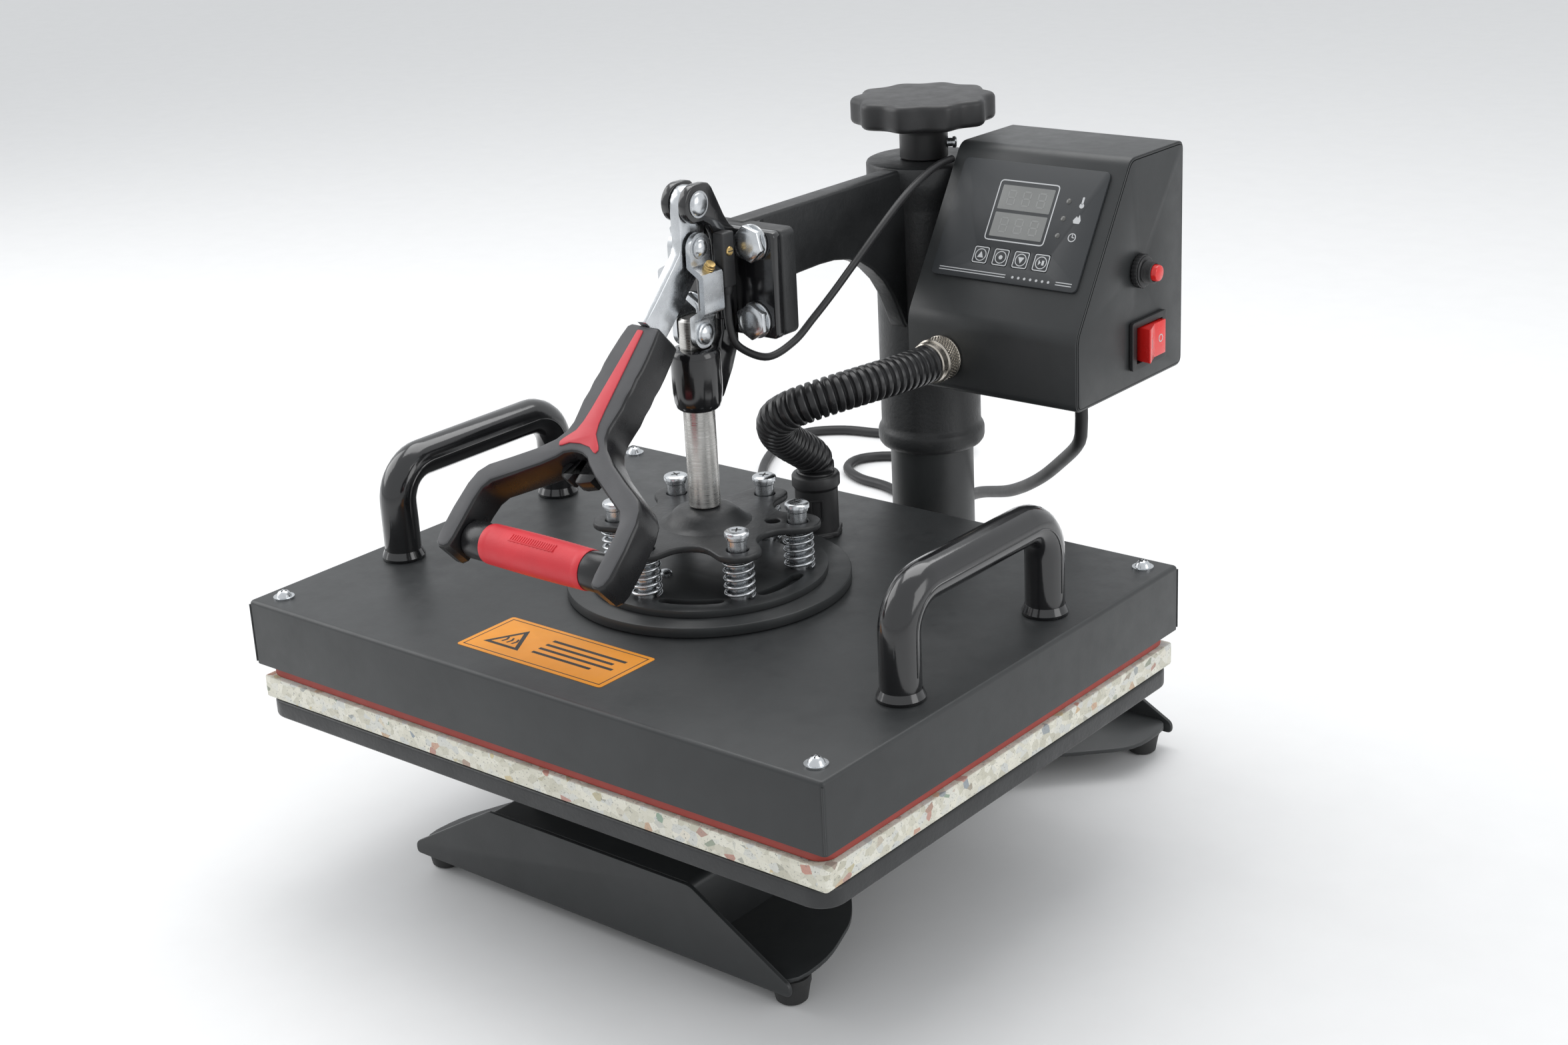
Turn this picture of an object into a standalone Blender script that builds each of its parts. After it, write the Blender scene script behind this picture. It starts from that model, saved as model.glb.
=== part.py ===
"""Swing-away heat press for 38 x 30 cm transfers.

The row frame has +X to the operator's right, -Y to the front and +Z up. Its origin lies on the
table, under the middle of the machine without its mains cord. All sizes are in metres.
"""

import math

import bmesh
import bpy
from mathutils import Matrix, Vector

MM = 0.001

# Driving dimensions of the frame
COVER_WIDTH = 385 * MM
COVER_DEPTH = 300 * MM
REACH = COVER_DEPTH / 2 + 50 * MM  # platen centre to post axis
POST_TO_REAR = 48 * MM
GAP = 0.3 * MM  # between pieces that touch
SHEET = 2.5 * MM

FOOT_HEIGHT = 14 * MM
FOOT_TOP_RADIUS = 10 * MM
FOOT_BOTTOM_RADIUS = 8 * MM
FOOT_X = 121.7 * MM
FOOT_EDGE = 11.5 * MM  # foot axis to the front wall of the base
FOOT_EDGE_REAR = 14.5 * MM

BASE_FRONT = 106 * MM  # platen centre to the front wall of the channel
CHANNEL_HALF = 70 * MM
CHANNEL_TOP = 52 * MM
WING_FRONT_HALF = 131 * MM
WING_REAR_HALF = 135 * MM
WING_DEPTH_FRONT = 30 * MM
WING_DEPTH_REAR = 40 * MM
LIP_DROP = 5 * MM

SUPPORT_WIDTH = 110 * MM
SUPPORT_DEPTH = 180 * MM
PLATEN_BOTTOM = 94 * MM
PLATEN_THICKNESS = 10 * MM
PLATEN_INSET = 1.5 * MM
PLATEN_CORNER = 13 * MM
FOAM_THICKNESS = 12 * MM
RUBBER_THICKNESS = 6.7 * MM
FOAM_INSET = 2 * MM
RUBBER_INSET = 4 * MM

# Heating platen
COVER_HEIGHT = 36 * MM
COVER_WALL = 1.5 * MM
HEATER_THICKNESS = 16 * MM
HEATER_INSET = 4.5 * MM
HANDLE_X = 169 * MM
HANDLE_FRONT = 61 * MM
HANDLE_REAR = 60 * MM
HANDLE_RISE = 62 * MM
SIDE_HANDLE_RADIUS = 10.5 * MM
HANDLE_BEND = 20 * MM

DISC_RADIUS = 74.5 * MM
DISC_THICKNESS = 5.5 * MM
SPRING_DISC_RADIUS = 62.3 * MM
SPRING_DISC_THICKNESS = 3.5 * MM
STUD_RING = 48 * MM
STUD_COUNT = 6
STUD_RADIUS = 5 * MM
STUD_HEAD_RADIUS = 6.5 * MM
STUD_HEAD = 3 * MM
STUD_TRAVEL = 7.5 * MM
SPRING_GAP = 22 * MM  # spring disc to the lobes of the spider
SPRING_RADIUS = 7.4 * MM
SPRING_WIRE = 0.85 * MM
SPRING_TURNS = 5.5
LOBE_RADIUS = 12 * MM
LOBE_THICKNESS = 3.5 * MM
SPIDER_RISE = 8 * MM
SPIDER_CROWN = 30 * MM
CONNECTOR_RADIUS = 13.2 * MM
CONNECTOR_HEIGHT = 35 * MM
CONNECTOR_X = 2 * MM
CONDUIT_RADIUS = 10.3 * MM

# Post and arm
POST_RADIUS = 24 * MM
POST_WALL = 3.5 * MM
POST_TOP = 320 * MM
POST_CAP = 6 * MM
POST_FLANGE = POST_RADIUS + 12 * MM
WASHER_THICKNESS = 3 * MM
WASHER_RADIUS = POST_RADIUS - 4 * MM
ARM_TOP = 347 * MM
SLEEVE_BOTTOM = 181 * MM
SLEEVE_RADIUS = POST_RADIUS + 4.75 * MM
SLEEVE_CLEARANCE = 0.4 * MM
BEAD_RADIUS = SLEEVE_RADIUS + 2 * MM
BEAD_HEIGHT = 13 * MM
BOSS_RADIUS = POST_RADIUS + 8.5 * MM
BOSS_DEPTH = 10 * MM
WEB_THICKNESS = 12 * MM
WEB_DEPTH = 38 * MM
FLANGE_HALF = 34 * MM
FLANGE_THICKNESS = 11.7 * MM
FLANGE_FRONT = 31.3 * MM  # ahead of the platen centre towards the post
FLANGE_BOTTOM = 290 * MM
FLANGE_TOP = 345 * MM
BRACKET_THICKNESS = 6 * MM
BOLT_X = 21 * MM
BOLT_EDGE = 8 * MM
BOLT_FLATS = 17 * MM
BOLT_HEAD = 6.5 * MM
SPINDLE_RADIUS = 6 * MM
SPINDLE_REACH = 24 * MM  # below the top of the post
SPINDLE_CLEARANCE = 0.4 * MM
KNOB_RADIUS = 40 * MM
KNOB_LOBES = 10
KNOB_LOBE_DEPTH = 2 * MM
KNOB_STEM_RADIUS = 13.5 * MM
KNOB_STEM = 20 * MM
KNOB_THICKNESS = 15.5 * MM

# Toggle clamp
PIVOT_Z = 362 * MM
CRANK = 22 * MM  # lever pivot to link pin
LINK_LENGTH = 44 * MM
LEVER_THICKNESS = 6 * MM
LEVER_HALF_WIDTH = 9 * MM
EAR_THICKNESS = 4.8 * MM
EAR_RADIUS = 10 * MM
SLIDE_CLEARANCE = 0.3 * MM
LINK_THICKNESS = 3 * MM
LINK_HALF_WIDTH = 7.5 * MM
LINK_INNER = 4.5 * MM
LINK_STEP = 7.5 * MM
PIN_RADIUS = 3 * MM
PIVOT_RADIUS = 4 * MM
PIN_CLEARANCE = 0.3 * MM
ROD_RADIUS = 8.2 * MM
ROD_TANG = 4 * MM
ROD_SHOULDER = 19 * MM  # below the lower link pin
GUIDE_RADIUS = ROD_RADIUS + 4.8 * MM
GUIDE_BOTTOM = 256 * MM
GUIDE_TOP = 288 * MM
GUIDE_CLEARANCE = 0.2 * MM

# Lever handle, measured down its own slope from the bar's end
GRIP_SLOPE = math.radians(47)  # from the vertical
HANDLE_ROOT_Y = -23 * MM
HANDLE_ROOT_Z = 312 * MM
BODY_START = 12 * MM
BODY_HALF = 13.5 * MM
BODY_FRONT = 6.5 * MM
BODY_BACK = 12.5 * MM
FORK_START = 72 * MM
FORK_ELBOW = 100 * MM
FORK_END = 150 * MM
FORK_HALF = 58 * MM
FORK_WIDTH = 11.5 * MM
CROTCH = 88 * MM
GRIP_ALONG = 137.3 * MM
GRIP_DEPTH = 6 * MM  # behind the lever bar's line
GRIP_RADIUS = 10.5 * MM
BAR_INSERT = 24 * MM
BAR_TAIL_FRONT = 4 * MM  # the bar is narrower where it sits in the handle

# Control box
BOX_LEFT = POST_RADIUS + 9 * MM
BOX_WIDTH = 107 * MM
BOX_FRONT = 64 * MM  # ahead of the post axis
BOX_REAR = 43 * MM
BOX_BOTTOM = 237 * MM
BOX_TOP = 361 * MM
BOX_CHIN = 40 * MM
BOX_SLOPE_RUN = 53 * MM
BOX_WALL = 1.5 * MM
PANEL_LEFT = 7.2 * MM
PANEL_WIDTH = 90.8 * MM
PANEL_START = 24.3 * MM
PANEL_LENGTH = 67.2 * MM
PANEL_THICKNESS = 1.6 * MM
KEY_SIZE = 10 * MM
KEY_PITCH = 12.6 * MM
KEY_FIRST = 34.6 * MM
KEY_UP = 38 * MM
KEY_CLEARANCE = 0.4 * MM
KEY_LIFT = 0.9 * MM
KEY_THICKNESS = 1.4 * MM
BOARD_WIDTH = 84 * MM
BOARD_LENGTH = 60 * MM
BOARD_THICKNESS = 1.6 * MM
BOARD_DEPTH = 14 * MM
GLAND_X = 56 * MM
GLAND_UP = 19 * MM
GLAND_RADIUS = 12 * MM
GLAND_LENGTH = 15 * MM
RELIEF_X = 92 * MM
RELIEF_BEHIND = 16 * MM
RELIEF_LENGTH = 25 * MM
RELIEF_RADIUS = 7 * MM
BEZEL_WIDTH = 35 * MM
BEZEL_HEIGHT = 26.5 * MM
BEZEL_FLANGE = 2 * MM
BEZEL_ALONG = 4.7 * MM  # behind the post axis
BEZEL_Z = 260 * MM
BEZEL_DEPTH = 14 * MM
ROCKER_HALF = 11.5 * MM
ROCKER_HEIGHT = 19 * MM
ROCKER_TILT = math.radians(11)
BREAKER_AHEAD = 3.3 * MM
BREAKER_Z = 300 * MM
BREAKER_NUT = 7.5 * MM
BUTTON_RADIUS = 4.5 * MM
BUTTON_TRAVEL = 3 * MM
CABLE_RADIUS = 2 * MM

# Mains cord
CORD_RADIUS = 3.75 * MM
PLUG_LENGTH = 40 * MM
PLUG_WIDTH = 25 * MM
PLUG_HEIGHT = 20 * MM

# Places that follow from the sizes above
PLATEN_Y = (COVER_DEPTH / 2 - REACH - POST_TO_REAR) / 2
POST_Y = PLATEN_Y + REACH
REAR_Y = POST_Y + POST_TO_REAR
CHANNEL_FRONT_Y = PLATEN_Y - BASE_FRONT
CHANNEL_REAR_Y = REAR_Y - SHEET
WING_Z = FOOT_HEIGHT + GAP
PLATEN_TOP = PLATEN_BOTTOM + PLATEN_THICKNESS
FOAM_TOP = PLATEN_TOP + GAP + FOAM_THICKNESS
RUBBER_TOP = FOAM_TOP + GAP + RUBBER_THICKNESS
HEATER_BOTTOM = RUBBER_TOP + GAP
COVER_TOP = HEATER_BOTTOM + 0.2 * MM + COVER_HEIGHT
DISC_TOP = COVER_TOP + GAP + DISC_THICKNESS
SPRING_DISC_TOP = DISC_TOP + GAP + SPRING_DISC_THICKNESS
LOBE_BOTTOM = SPRING_DISC_TOP + SPRING_GAP
LOBE_TOP = LOBE_BOTTOM + LOBE_THICKNESS
SPIDER_TOP = LOBE_TOP + SPIDER_RISE
LINK_PIN_Z = PIVOT_Z - CRANK
ROD_PIN_Z = LINK_PIN_Z - LINK_LENGTH
BOSS_BOTTOM = POST_TOP + WASHER_THICKNESS + 2 * GAP
BRACKET_FRONT = FLANGE_FRONT - GAP - BRACKET_THICKNESS
BOX_RIGHT = BOX_LEFT + BOX_WIDTH
BOX_FRONT_Y = POST_Y - BOX_FRONT
BOX_REAR_Y = POST_Y + BOX_REAR
SLOPE_START = Vector((0, BOX_FRONT_Y, BOX_BOTTOM + BOX_CHIN))
SLOPE_ANGLE = math.atan2(BOX_TOP - BOX_BOTTOM - BOX_CHIN, BOX_SLOPE_RUN)
RELIEF_Y = POST_Y + RELIEF_BEHIND
BEZEL_Y = POST_Y + BEZEL_ALONG
BREAKER_Y = POST_Y - BREAKER_AHEAD

# Conduit from the control box to the heater, in millimetres from the platen centre
CONDUIT_ROUTE = [
    (56, 120.3, 256), (56, 113, 256), (54.5, 100, 256), (50, 82, 255.5), (42, 65, 253.5),
    (32, 53, 250), (21, 47, 245), (11, 48, 238), (4, 56, 228), (1.5, 67, 219), (1.6, 77, 212),
    (2, 85, 206), (2, 89, 200.5),
]

# Sensor cable from the clamp to the control box, in millimetres from the platen centre
CABLE_ROUTE = [
    (12, 13, 317.5), (12, 13, 308), (12.5, 13.5, 296), (14, 18, 285.5), (17, 36, 276),
    (20, 54, 280), (22.5, 68, 289.5), (25, 82, 300), (27, 98, 312), (28.5, 120, 327),
    (28.8, 141, 339), (29, 160, 347), (29.6, 174, 351), (30.6, 184, 352),
]

# Mains cord along the table, in millimetres from the platen centre on the ground
CORD_ROUTE = [
    (92, 216, 211.2), (92, 216, 203), (87, 221, 188), (64, 238, 167.5), (36, 256, 146),
    (0, 280, 125), (-47, 311, 105), (-90, 345, 77), (-125, 380, 45), (-152, 411, 19),
    (-178, 441, 6.5), (-207, 472, 3.9), (-240, 500, 3.9), (-275, 517, 3.9), (-306, 522, 3.9),
    (-329, 536, 3.9), (-335, 558, 3.9), (-319, 577, 3.9), (-294, 583, 3.9), (-272, 600, 3.9),
    (-277, 627, 3.9), (-303, 640, 3.9), (-334, 630, 3.9), (-362, 620, 3.9), (-391, 612, 3.9),
    (-413, 592, 3.9), (-416, 562, 3.9), (-405, 532, 3.9), (-388, 502, 3.9), (-366, 474, 3.9),
    (-338, 450, 3.9), (-303, 437, 3.9), (-270, 418, 3.9), (-252, 386, 3.9), (-258, 350, 3.9),
    (-288, 328, 4.4), (-315, 325, 9.9), (-330, 325, 10.2),
]

for old in list(bpy.data.objects):
    bpy.data.objects.remove(old, do_unlink=True)

parts = bpy.data.collections.new("heat_press")
cutters = bpy.data.collections.new("cutters")
for group in (parts, cutters):
    bpy.context.scene.collection.children.link(group)
cutters.hide_render = True


def finish(name, colour, roughness, metallic=0.0):
    """A plain Principled material."""
    material = bpy.data.materials.new(name)
    material.use_nodes = True
    shader = material.node_tree.nodes["Principled BSDF"]
    shader.inputs["Base Color"].default_value = (*colour, 1)
    shader.inputs["Roughness"].default_value = roughness
    shader.inputs["Metallic"].default_value = metallic
    return material


POWDER_BLACK = finish("powder_black", (0.022, 0.023, 0.024), 0.45)
GLOSS_BLACK = finish("gloss_black", (0.01, 0.01, 0.011), 0.15)
SATIN_PLASTIC = finish("satin_plastic", (0.018, 0.018, 0.019), 0.4)
RUBBER_BLACK = finish("rubber_black", (0.02, 0.02, 0.02), 0.7)
ZINC = finish("zinc", (0.62, 0.64, 0.66), 0.28, 1.0)
STEEL = finish("steel", (0.55, 0.54, 0.52), 0.22, 1.0)
ALUMINIUM = finish("aluminium", (0.6, 0.6, 0.61), 0.4, 1.0)
NICKEL = finish("nickel", (0.6, 0.56, 0.5), 0.25, 1.0)
SILICONE_RED = finish("silicone_red", (0.33, 0.05, 0.035), 0.6)
FOAM_SPECKLED = finish("foam_speckled", (0.68, 0.66, 0.58), 0.9)
GRIP_RED = finish("grip_red", (0.6, 0.02, 0.03), 0.45)
SWITCH_RED = finish("switch_red", (0.7, 0.03, 0.02), 0.3)
PANEL_GREY = finish("panel_grey", (0.03, 0.032, 0.034), 0.5)
BOARD_GREEN = finish("board_green", (0.02, 0.2, 0.07), 0.5)


def place(name, data, material, matrix=None, group=parts):
    """A named object of that mesh or curve, with its material and its place."""
    piece = bpy.data.objects.new(name, data)
    group.objects.link(piece)
    if material is not None:
        data.materials.append(material)
    if matrix is not None:
        piece.matrix_world = matrix
    return piece


def mesh_from(name, shape):
    """Turns a bmesh into mesh data with its faces pointing out."""
    bmesh.ops.recalc_face_normals(shape, faces=shape.faces)
    data = bpy.data.meshes.new(name)
    shape.to_mesh(data)
    shape.free()
    return data


def block(name, low, high, material=None, group=parts, matrix=None):
    """A box between two corners."""
    shape = bmesh.new()
    bmesh.ops.create_cube(shape, size=1)
    size = Vector(high) - Vector(low)
    bmesh.ops.scale(shape, vec=size, verts=shape.verts)
    bmesh.ops.translate(shape, vec=(Vector(high) + Vector(low)) / 2, verts=shape.verts)
    return place(name, mesh_from(name, shape), material, matrix, group)


def open_box(name, low, high, wall, material, missing):
    """A sheet shell between two corners, without the face whose outward normal is given."""
    shell = block(name, low, high, material)
    shape = bmesh.new()
    shape.from_mesh(shell.data)
    gone = [face for face in shape.faces if face.normal.dot(Vector(missing)) > 0.9]
    bmesh.ops.delete(shape, geom=gone, context="FACES")
    shape.to_mesh(shell.data)
    shape.free()
    thicken(shell, wall)
    return shell


def thicken(piece, wall):
    """Gives an open surface its wall, on the inner side."""
    solid = piece.modifiers.new("wall", "SOLIDIFY")
    solid.thickness = wall
    solid.offset = -1
    solid.use_even_offset = True


def turned(name, outline, material, matrix=None, ring=False, steps=32, group=parts):
    """A shape turned round its Z axis from (radius, height) points, in either order."""
    loop = list(outline)
    area = sum(
        a[0] * b[1] - b[0] * a[1]
        for a, b in zip(loop, loop[1:] + loop[:1])
    )
    if area > 0:
        loop.reverse()
    data = bpy.data.meshes.new(name)
    edges = [(i, i + 1) for i in range(len(loop) - 1)]
    if ring:
        edges.append((len(loop) - 1, 0))
    data.from_pydata([(r, 0, z) for r, z in loop], edges, [])
    piece = place(name, data, material, matrix, group)
    screw = piece.modifiers.new("turn", "SCREW")
    screw.steps = screw.render_steps = steps
    screw.use_merge_vertices = True
    screw.merge_threshold = 0.00001
    screw.use_smooth_shade = True
    return piece


def flat_curve(name, outlines, thickness):
    """Curve data for a plate that fills the closed outlines, centred on its own plane."""
    data = bpy.data.curves.new(name, "CURVE")
    data.dimensions = "2D"
    data.fill_mode = "BOTH"
    data.extrude = thickness / 2
    for outline in outlines:
        spline = data.splines.new("POLY")
        spline.points.add(len(outline) - 1)
        for point, (x, y) in zip(spline.points, outline):
            point.co = (x, y, 0, 1)
        spline.use_cyclic_u = True
    return data


def plate(name, outlines, thickness, material, matrix):
    """A flat plate of one outline and its holes."""
    return place(name, flat_curve(name, outlines, thickness), material, matrix)


def solid_plate(name, outlines, thickness, material, matrix, group=parts):
    """The same plate as a mesh, so that it can be joined and cut."""
    guide = place("guide_" + name, flat_curve(name, outlines, thickness), None, matrix)
    data = to_mesh(guide, name)
    return place(name, data, material, matrix, group)


def to_mesh(guide, name):
    """The evaluated mesh of a curve, with its caps welded, and the curve removed."""
    bpy.context.view_layer.update()
    graph = bpy.context.evaluated_depsgraph_get()
    data = bpy.data.meshes.new_from_object(guide.evaluated_get(graph))
    data.name = name
    data.materials.clear()
    shape = bmesh.new()
    shape.from_mesh(data)
    bmesh.ops.remove_doubles(shape, verts=shape.verts, dist=0.000001)
    bmesh.ops.recalc_face_normals(shape, faces=shape.faces)
    shape.to_mesh(data)
    shape.free()
    bpy.data.objects.remove(guide, do_unlink=True)
    return data


def combine(piece, other, operation):
    """Joins or cuts a piece with another, which becomes a hidden cutter."""
    for group in list(other.users_collection):
        group.objects.unlink(other)
    cutters.objects.link(other)
    other.hide_render = True
    other.display_type = "WIRE"
    step = piece.modifiers.new(operation.lower() + "_" + other.name, "BOOLEAN")
    step.operation = operation
    step.solver = "EXACT"
    step.object = other
    return piece


def join(piece, *others):
    for other in others:
        combine(piece, other, "UNION")
    return piece


def cut(piece, *others):
    for other in others:
        combine(piece, other, "DIFFERENCE")
    return piece


def cylinder(name, radius, low, high, material=None, matrix=None, sides=32, group=parts):
    """A round bar along its Z axis."""
    return turned(name, [(0, high), (radius, high), (radius, low), (0, low)],
                  material, matrix, steps=sides, group=group)


def at(x, y, z):
    return Matrix.Translation((x, y, z))


def along_x(x, y, z):
    """A frame whose Z axis runs along +X, and whose X and Y axes are the row's Y and Z."""
    turn = Matrix(((0, 0, 1), (1, 0, 0), (0, 1, 0))).to_4x4()
    return at(x, y, z) @ turn


def along_y(x, y, z):
    """A frame whose Z axis runs along -Y, and whose X and Y axes are the row's X and Z."""
    turn = Matrix(((1, 0, 0), (0, 0, -1), (0, 1, 0))).to_4x4()
    return at(x, y, z) @ turn


def arc(centre, radius, start, end, count):
    """Points on an arc in a plane, with angles in degrees."""
    angles = [math.radians(start + (end - start) * i / count) for i in range(count + 1)]
    return [(centre[0] + radius * math.cos(a), centre[1] + radius * math.sin(a)) for a in angles]


def ring_points(centre, radius, count=24):
    return arc(centre, radius, 0, 360 - 360 / count, count - 1)


def smooth_route(points, spacing):
    """Points at an even spacing along a Catmull-Rom curve through the route's own points."""
    knots = [Vector(p) for p in points]
    knots = [2 * knots[0] - knots[1]] + knots + [2 * knots[-1] - knots[-2]]
    fine = []
    for a, b, c, d in zip(knots, knots[1:], knots[2:], knots[3:]):
        for step in range(20):
            t = step / 20
            fine.append(0.5 * (2 * b + (c - a) * t + (2 * a - 5 * b + 4 * c - d) * t ** 2
                               + (3 * b - a - 3 * c + d) * t ** 3))
    fine.append(knots[-2])
    length = sum((q - p).length for p, q in zip(fine, fine[1:]))
    count = max(2, round(length / spacing))
    route, travelled, wanted = [fine[0]], 0.0, 1
    for p, q in zip(fine, fine[1:]):
        step = (q - p).length
        while wanted < count and travelled + step >= wanted * length / count:
            route.append(p.lerp(q, (wanted * length / count - travelled) / step))
            wanted += 1
        travelled += step
    return route + [fine[-1]]


def tube(name, points, radius, material, sides=2):
    """A round tube or wire through the points, with flat ends."""
    data = bpy.data.curves.new(name, "CURVE")
    data.dimensions = "3D"
    data.bevel_depth = radius
    data.bevel_resolution = sides
    data.use_fill_caps = True
    spline = data.splines.new("POLY")
    spline.points.add(len(points) - 1)
    for target, point in zip(spline.points, points):
        target.co = (*point, 1)
    return place(name, data, material)


def from_platen(route, start=0.0, end=0.0):
    """A route's millimetres from the platen centre, in the row frame.

    The routes are written for a reach of 200 mm, and start and end say how much of any other
    reach each end of the route takes up.
    """
    more = REACH - 200 * MM
    last = len(route) - 1
    return [Vector((x * MM, y * MM + PLATEN_Y + more * (start + (end - start) * i / last), z * MM))
            for i, (x, y, z) in enumerate(route)]


def mirrored(outline):
    """The half outline with positive x, and its mirror image, as one closed outline."""
    return outline + [(-x, y) for x, y in reversed(outline) if x > 0]


def make_base():
    """Folded sheet base: an upturned channel between two pairs of wings."""
    frame = open_box("base_frame", (-CHANNEL_HALF, CHANNEL_FRONT_Y, WING_Z + SHEET / 4),
                     (CHANNEL_HALF, CHANNEL_REAR_Y, CHANNEL_TOP), SHEET, POWDER_BLACK,
                     (0, 0, -1))
    waist = CHANNEL_HALF + 8 * MM
    front, rear = CHANNEL_FRONT_Y - SHEET / 4, CHANNEL_REAR_Y + SHEET / 4
    outer = mirrored([
        (WING_FRONT_HALF - GAP, front), (WING_FRONT_HALF - GAP, front + WING_DEPTH_FRONT),
        (WING_FRONT_HALF - 12 * MM, front + 2.1 * WING_DEPTH_FRONT),
        (WING_FRONT_HALF - 20 * MM, front + 2.5 * WING_DEPTH_FRONT),
        (waist, front + 3.8 * WING_DEPTH_FRONT), (waist, rear - 2.4 * WING_DEPTH_REAR),
        (WING_REAR_HALF - GAP, rear - WING_DEPTH_REAR), (WING_REAR_HALF - GAP, rear),
    ])
    edge = CHANNEL_HALF - SHEET / 2
    inner = [(edge, CHANNEL_FRONT_Y + SHEET / 2), (edge, CHANNEL_REAR_Y - SHEET / 2),
             (-edge, CHANNEL_REAR_Y - SHEET / 2), (-edge, CHANNEL_FRONT_Y + SHEET / 2)]
    wings = solid_plate("wings", [outer, inner], SHEET, None, at(0, 0, WING_Z + SHEET / 2))
    ends = []
    for name, half, y in (("front_wall", WING_FRONT_HALF, CHANNEL_FRONT_Y - 0.3 * SHEET),
                          ("rear_wall", WING_REAR_HALF, CHANNEL_REAR_Y + 0.3 * SHEET)):
        face = mirrored([(half, WING_Z - LIP_DROP), (half, WING_Z + SHEET - GAP),
                         (CHANNEL_HALF - GAP, CHANNEL_TOP - GAP)])
        ends.append(solid_plate(name, [face], 1.4 * SHEET, None, along_y(0, y, 0)))
    join(frame, wings, *ends)
    support_low = CHANNEL_TOP + GAP
    open_box("platen_support", (-SUPPORT_WIDTH / 2, PLATEN_Y - SUPPORT_DEPTH / 2, support_low),
             (SUPPORT_WIDTH / 2, PLATEN_Y + SUPPORT_DEPTH / 2, PLATEN_BOTTOM - GAP), SHEET,
             POWDER_BLACK, (0, 0, -1))


def make_feet():
    names = ("front_left", "front_right", "rear_left", "rear_right")
    rows = (CHANNEL_FRONT_Y + FOOT_EDGE, REAR_Y - FOOT_EDGE_REAR)
    for i, name in enumerate(names):
        place_x = FOOT_X if i % 2 else -FOOT_X
        turned("foot_" + name, [(0, FOOT_HEIGHT), (FOOT_TOP_RADIUS, FOOT_HEIGHT),
                                (FOOT_BOTTOM_RADIUS, 0), (0, 0)],
               RUBBER_BLACK, at(place_x, rows[i // 2], 0), steps=24)


def rounded_rectangle(half_x, half_y, radius, count=6):
    corners = ((half_x, half_y, 0), (-half_x, half_y, 90), (-half_x, -half_y, 180),
               (half_x, -half_y, 270))
    outline = []
    for x, y, start in corners:
        centre = (x - math.copysign(radius, x), y - math.copysign(radius, y))
        outline += arc(centre, radius, start, start + 90, count)
    return outline


def make_platen():
    """Lower platen with its foam pad and silicone sheet."""
    half_x, half_y = COVER_WIDTH / 2 - PLATEN_INSET, COVER_DEPTH / 2 - PLATEN_INSET
    plate("lower_platen", [rounded_rectangle(half_x, half_y, PLATEN_CORNER)], PLATEN_THICKNESS,
          POWDER_BLACK, at(0, PLATEN_Y, PLATEN_BOTTOM + PLATEN_THICKNESS / 2))
    for name, low, high, inset, material in (
        ("foam_pad", PLATEN_TOP + GAP, FOAM_TOP, FOAM_INSET, FOAM_SPECKLED),
        ("silicone_pad", FOAM_TOP + GAP, RUBBER_TOP, RUBBER_INSET, SILICONE_RED),
    ):
        half_x, half_y = COVER_WIDTH / 2 - inset, COVER_DEPTH / 2 - inset
        block(name, (-half_x, PLATEN_Y - half_y, low), (half_x, PLATEN_Y + half_y, high), material)


def make_post():
    """Hollow post with a welded foot flange and a bored cap, and the washer on it."""
    bottom = CHANNEL_TOP + GAP
    inner = POST_RADIUS - POST_WALL
    hole = SPINDLE_RADIUS + SPINDLE_CLEARANCE
    turned("post", [
        (hole, POST_TOP), (POST_RADIUS, POST_TOP), (POST_RADIUS, bottom + 2 * SHEET),
        (POST_FLANGE, bottom + 2 * SHEET), (POST_FLANGE, bottom), (inner, bottom),
        (inner, POST_TOP - POST_CAP), (hole, POST_TOP - POST_CAP),
    ], POWDER_BLACK, at(0, POST_Y, 0), ring=True)
    low = POST_TOP + GAP
    turned("thrust_washer", [
        (hole, low), (WASHER_RADIUS, low), (WASHER_RADIUS, low + WASHER_THICKNESS),
        (hole, low + WASHER_THICKNESS),
    ], STEEL, at(0, POST_Y, 0), ring=True)


def make_knob():
    """Lobed pressure knob and the threaded spindle that it turns."""
    stem_low = ARM_TOP + GAP
    rim_low = stem_low + KNOB_STEM
    mean = KNOB_RADIUS - KNOB_LOBE_DEPTH
    outline = []
    for i in range(8 * KNOB_LOBES):
        turn = 2 * math.pi * i / (8 * KNOB_LOBES)
        radius = mean + KNOB_LOBE_DEPTH * math.cos(KNOB_LOBES * turn)
        outline.append((radius * math.cos(turn), radius * math.sin(turn)))
    rim_high = rim_low + KNOB_THICKNESS
    knob = solid_plate("pressure_knob", [outline], KNOB_THICKNESS, SATIN_PLASTIC,
                       at(0, POST_Y, (rim_low + rim_high) / 2))
    stem = cylinder("knob_stem", KNOB_STEM_RADIUS, stem_low, rim_low + 2 * MM,
                    matrix=at(0, POST_Y, 0))
    socket_top = stem_low + KNOB_STEM
    socket = cylinder("knob_socket", SPINDLE_RADIUS + SPINDLE_CLEARANCE, stem_low - MM,
                      socket_top, matrix=at(0, POST_Y, 0))
    cut(join(knob, stem), socket)
    cylinder("pressure_spindle", SPINDLE_RADIUS, POST_TOP - SPINDLE_REACH, socket_top - GAP,
             ZINC, at(0, POST_Y, 0))


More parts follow.
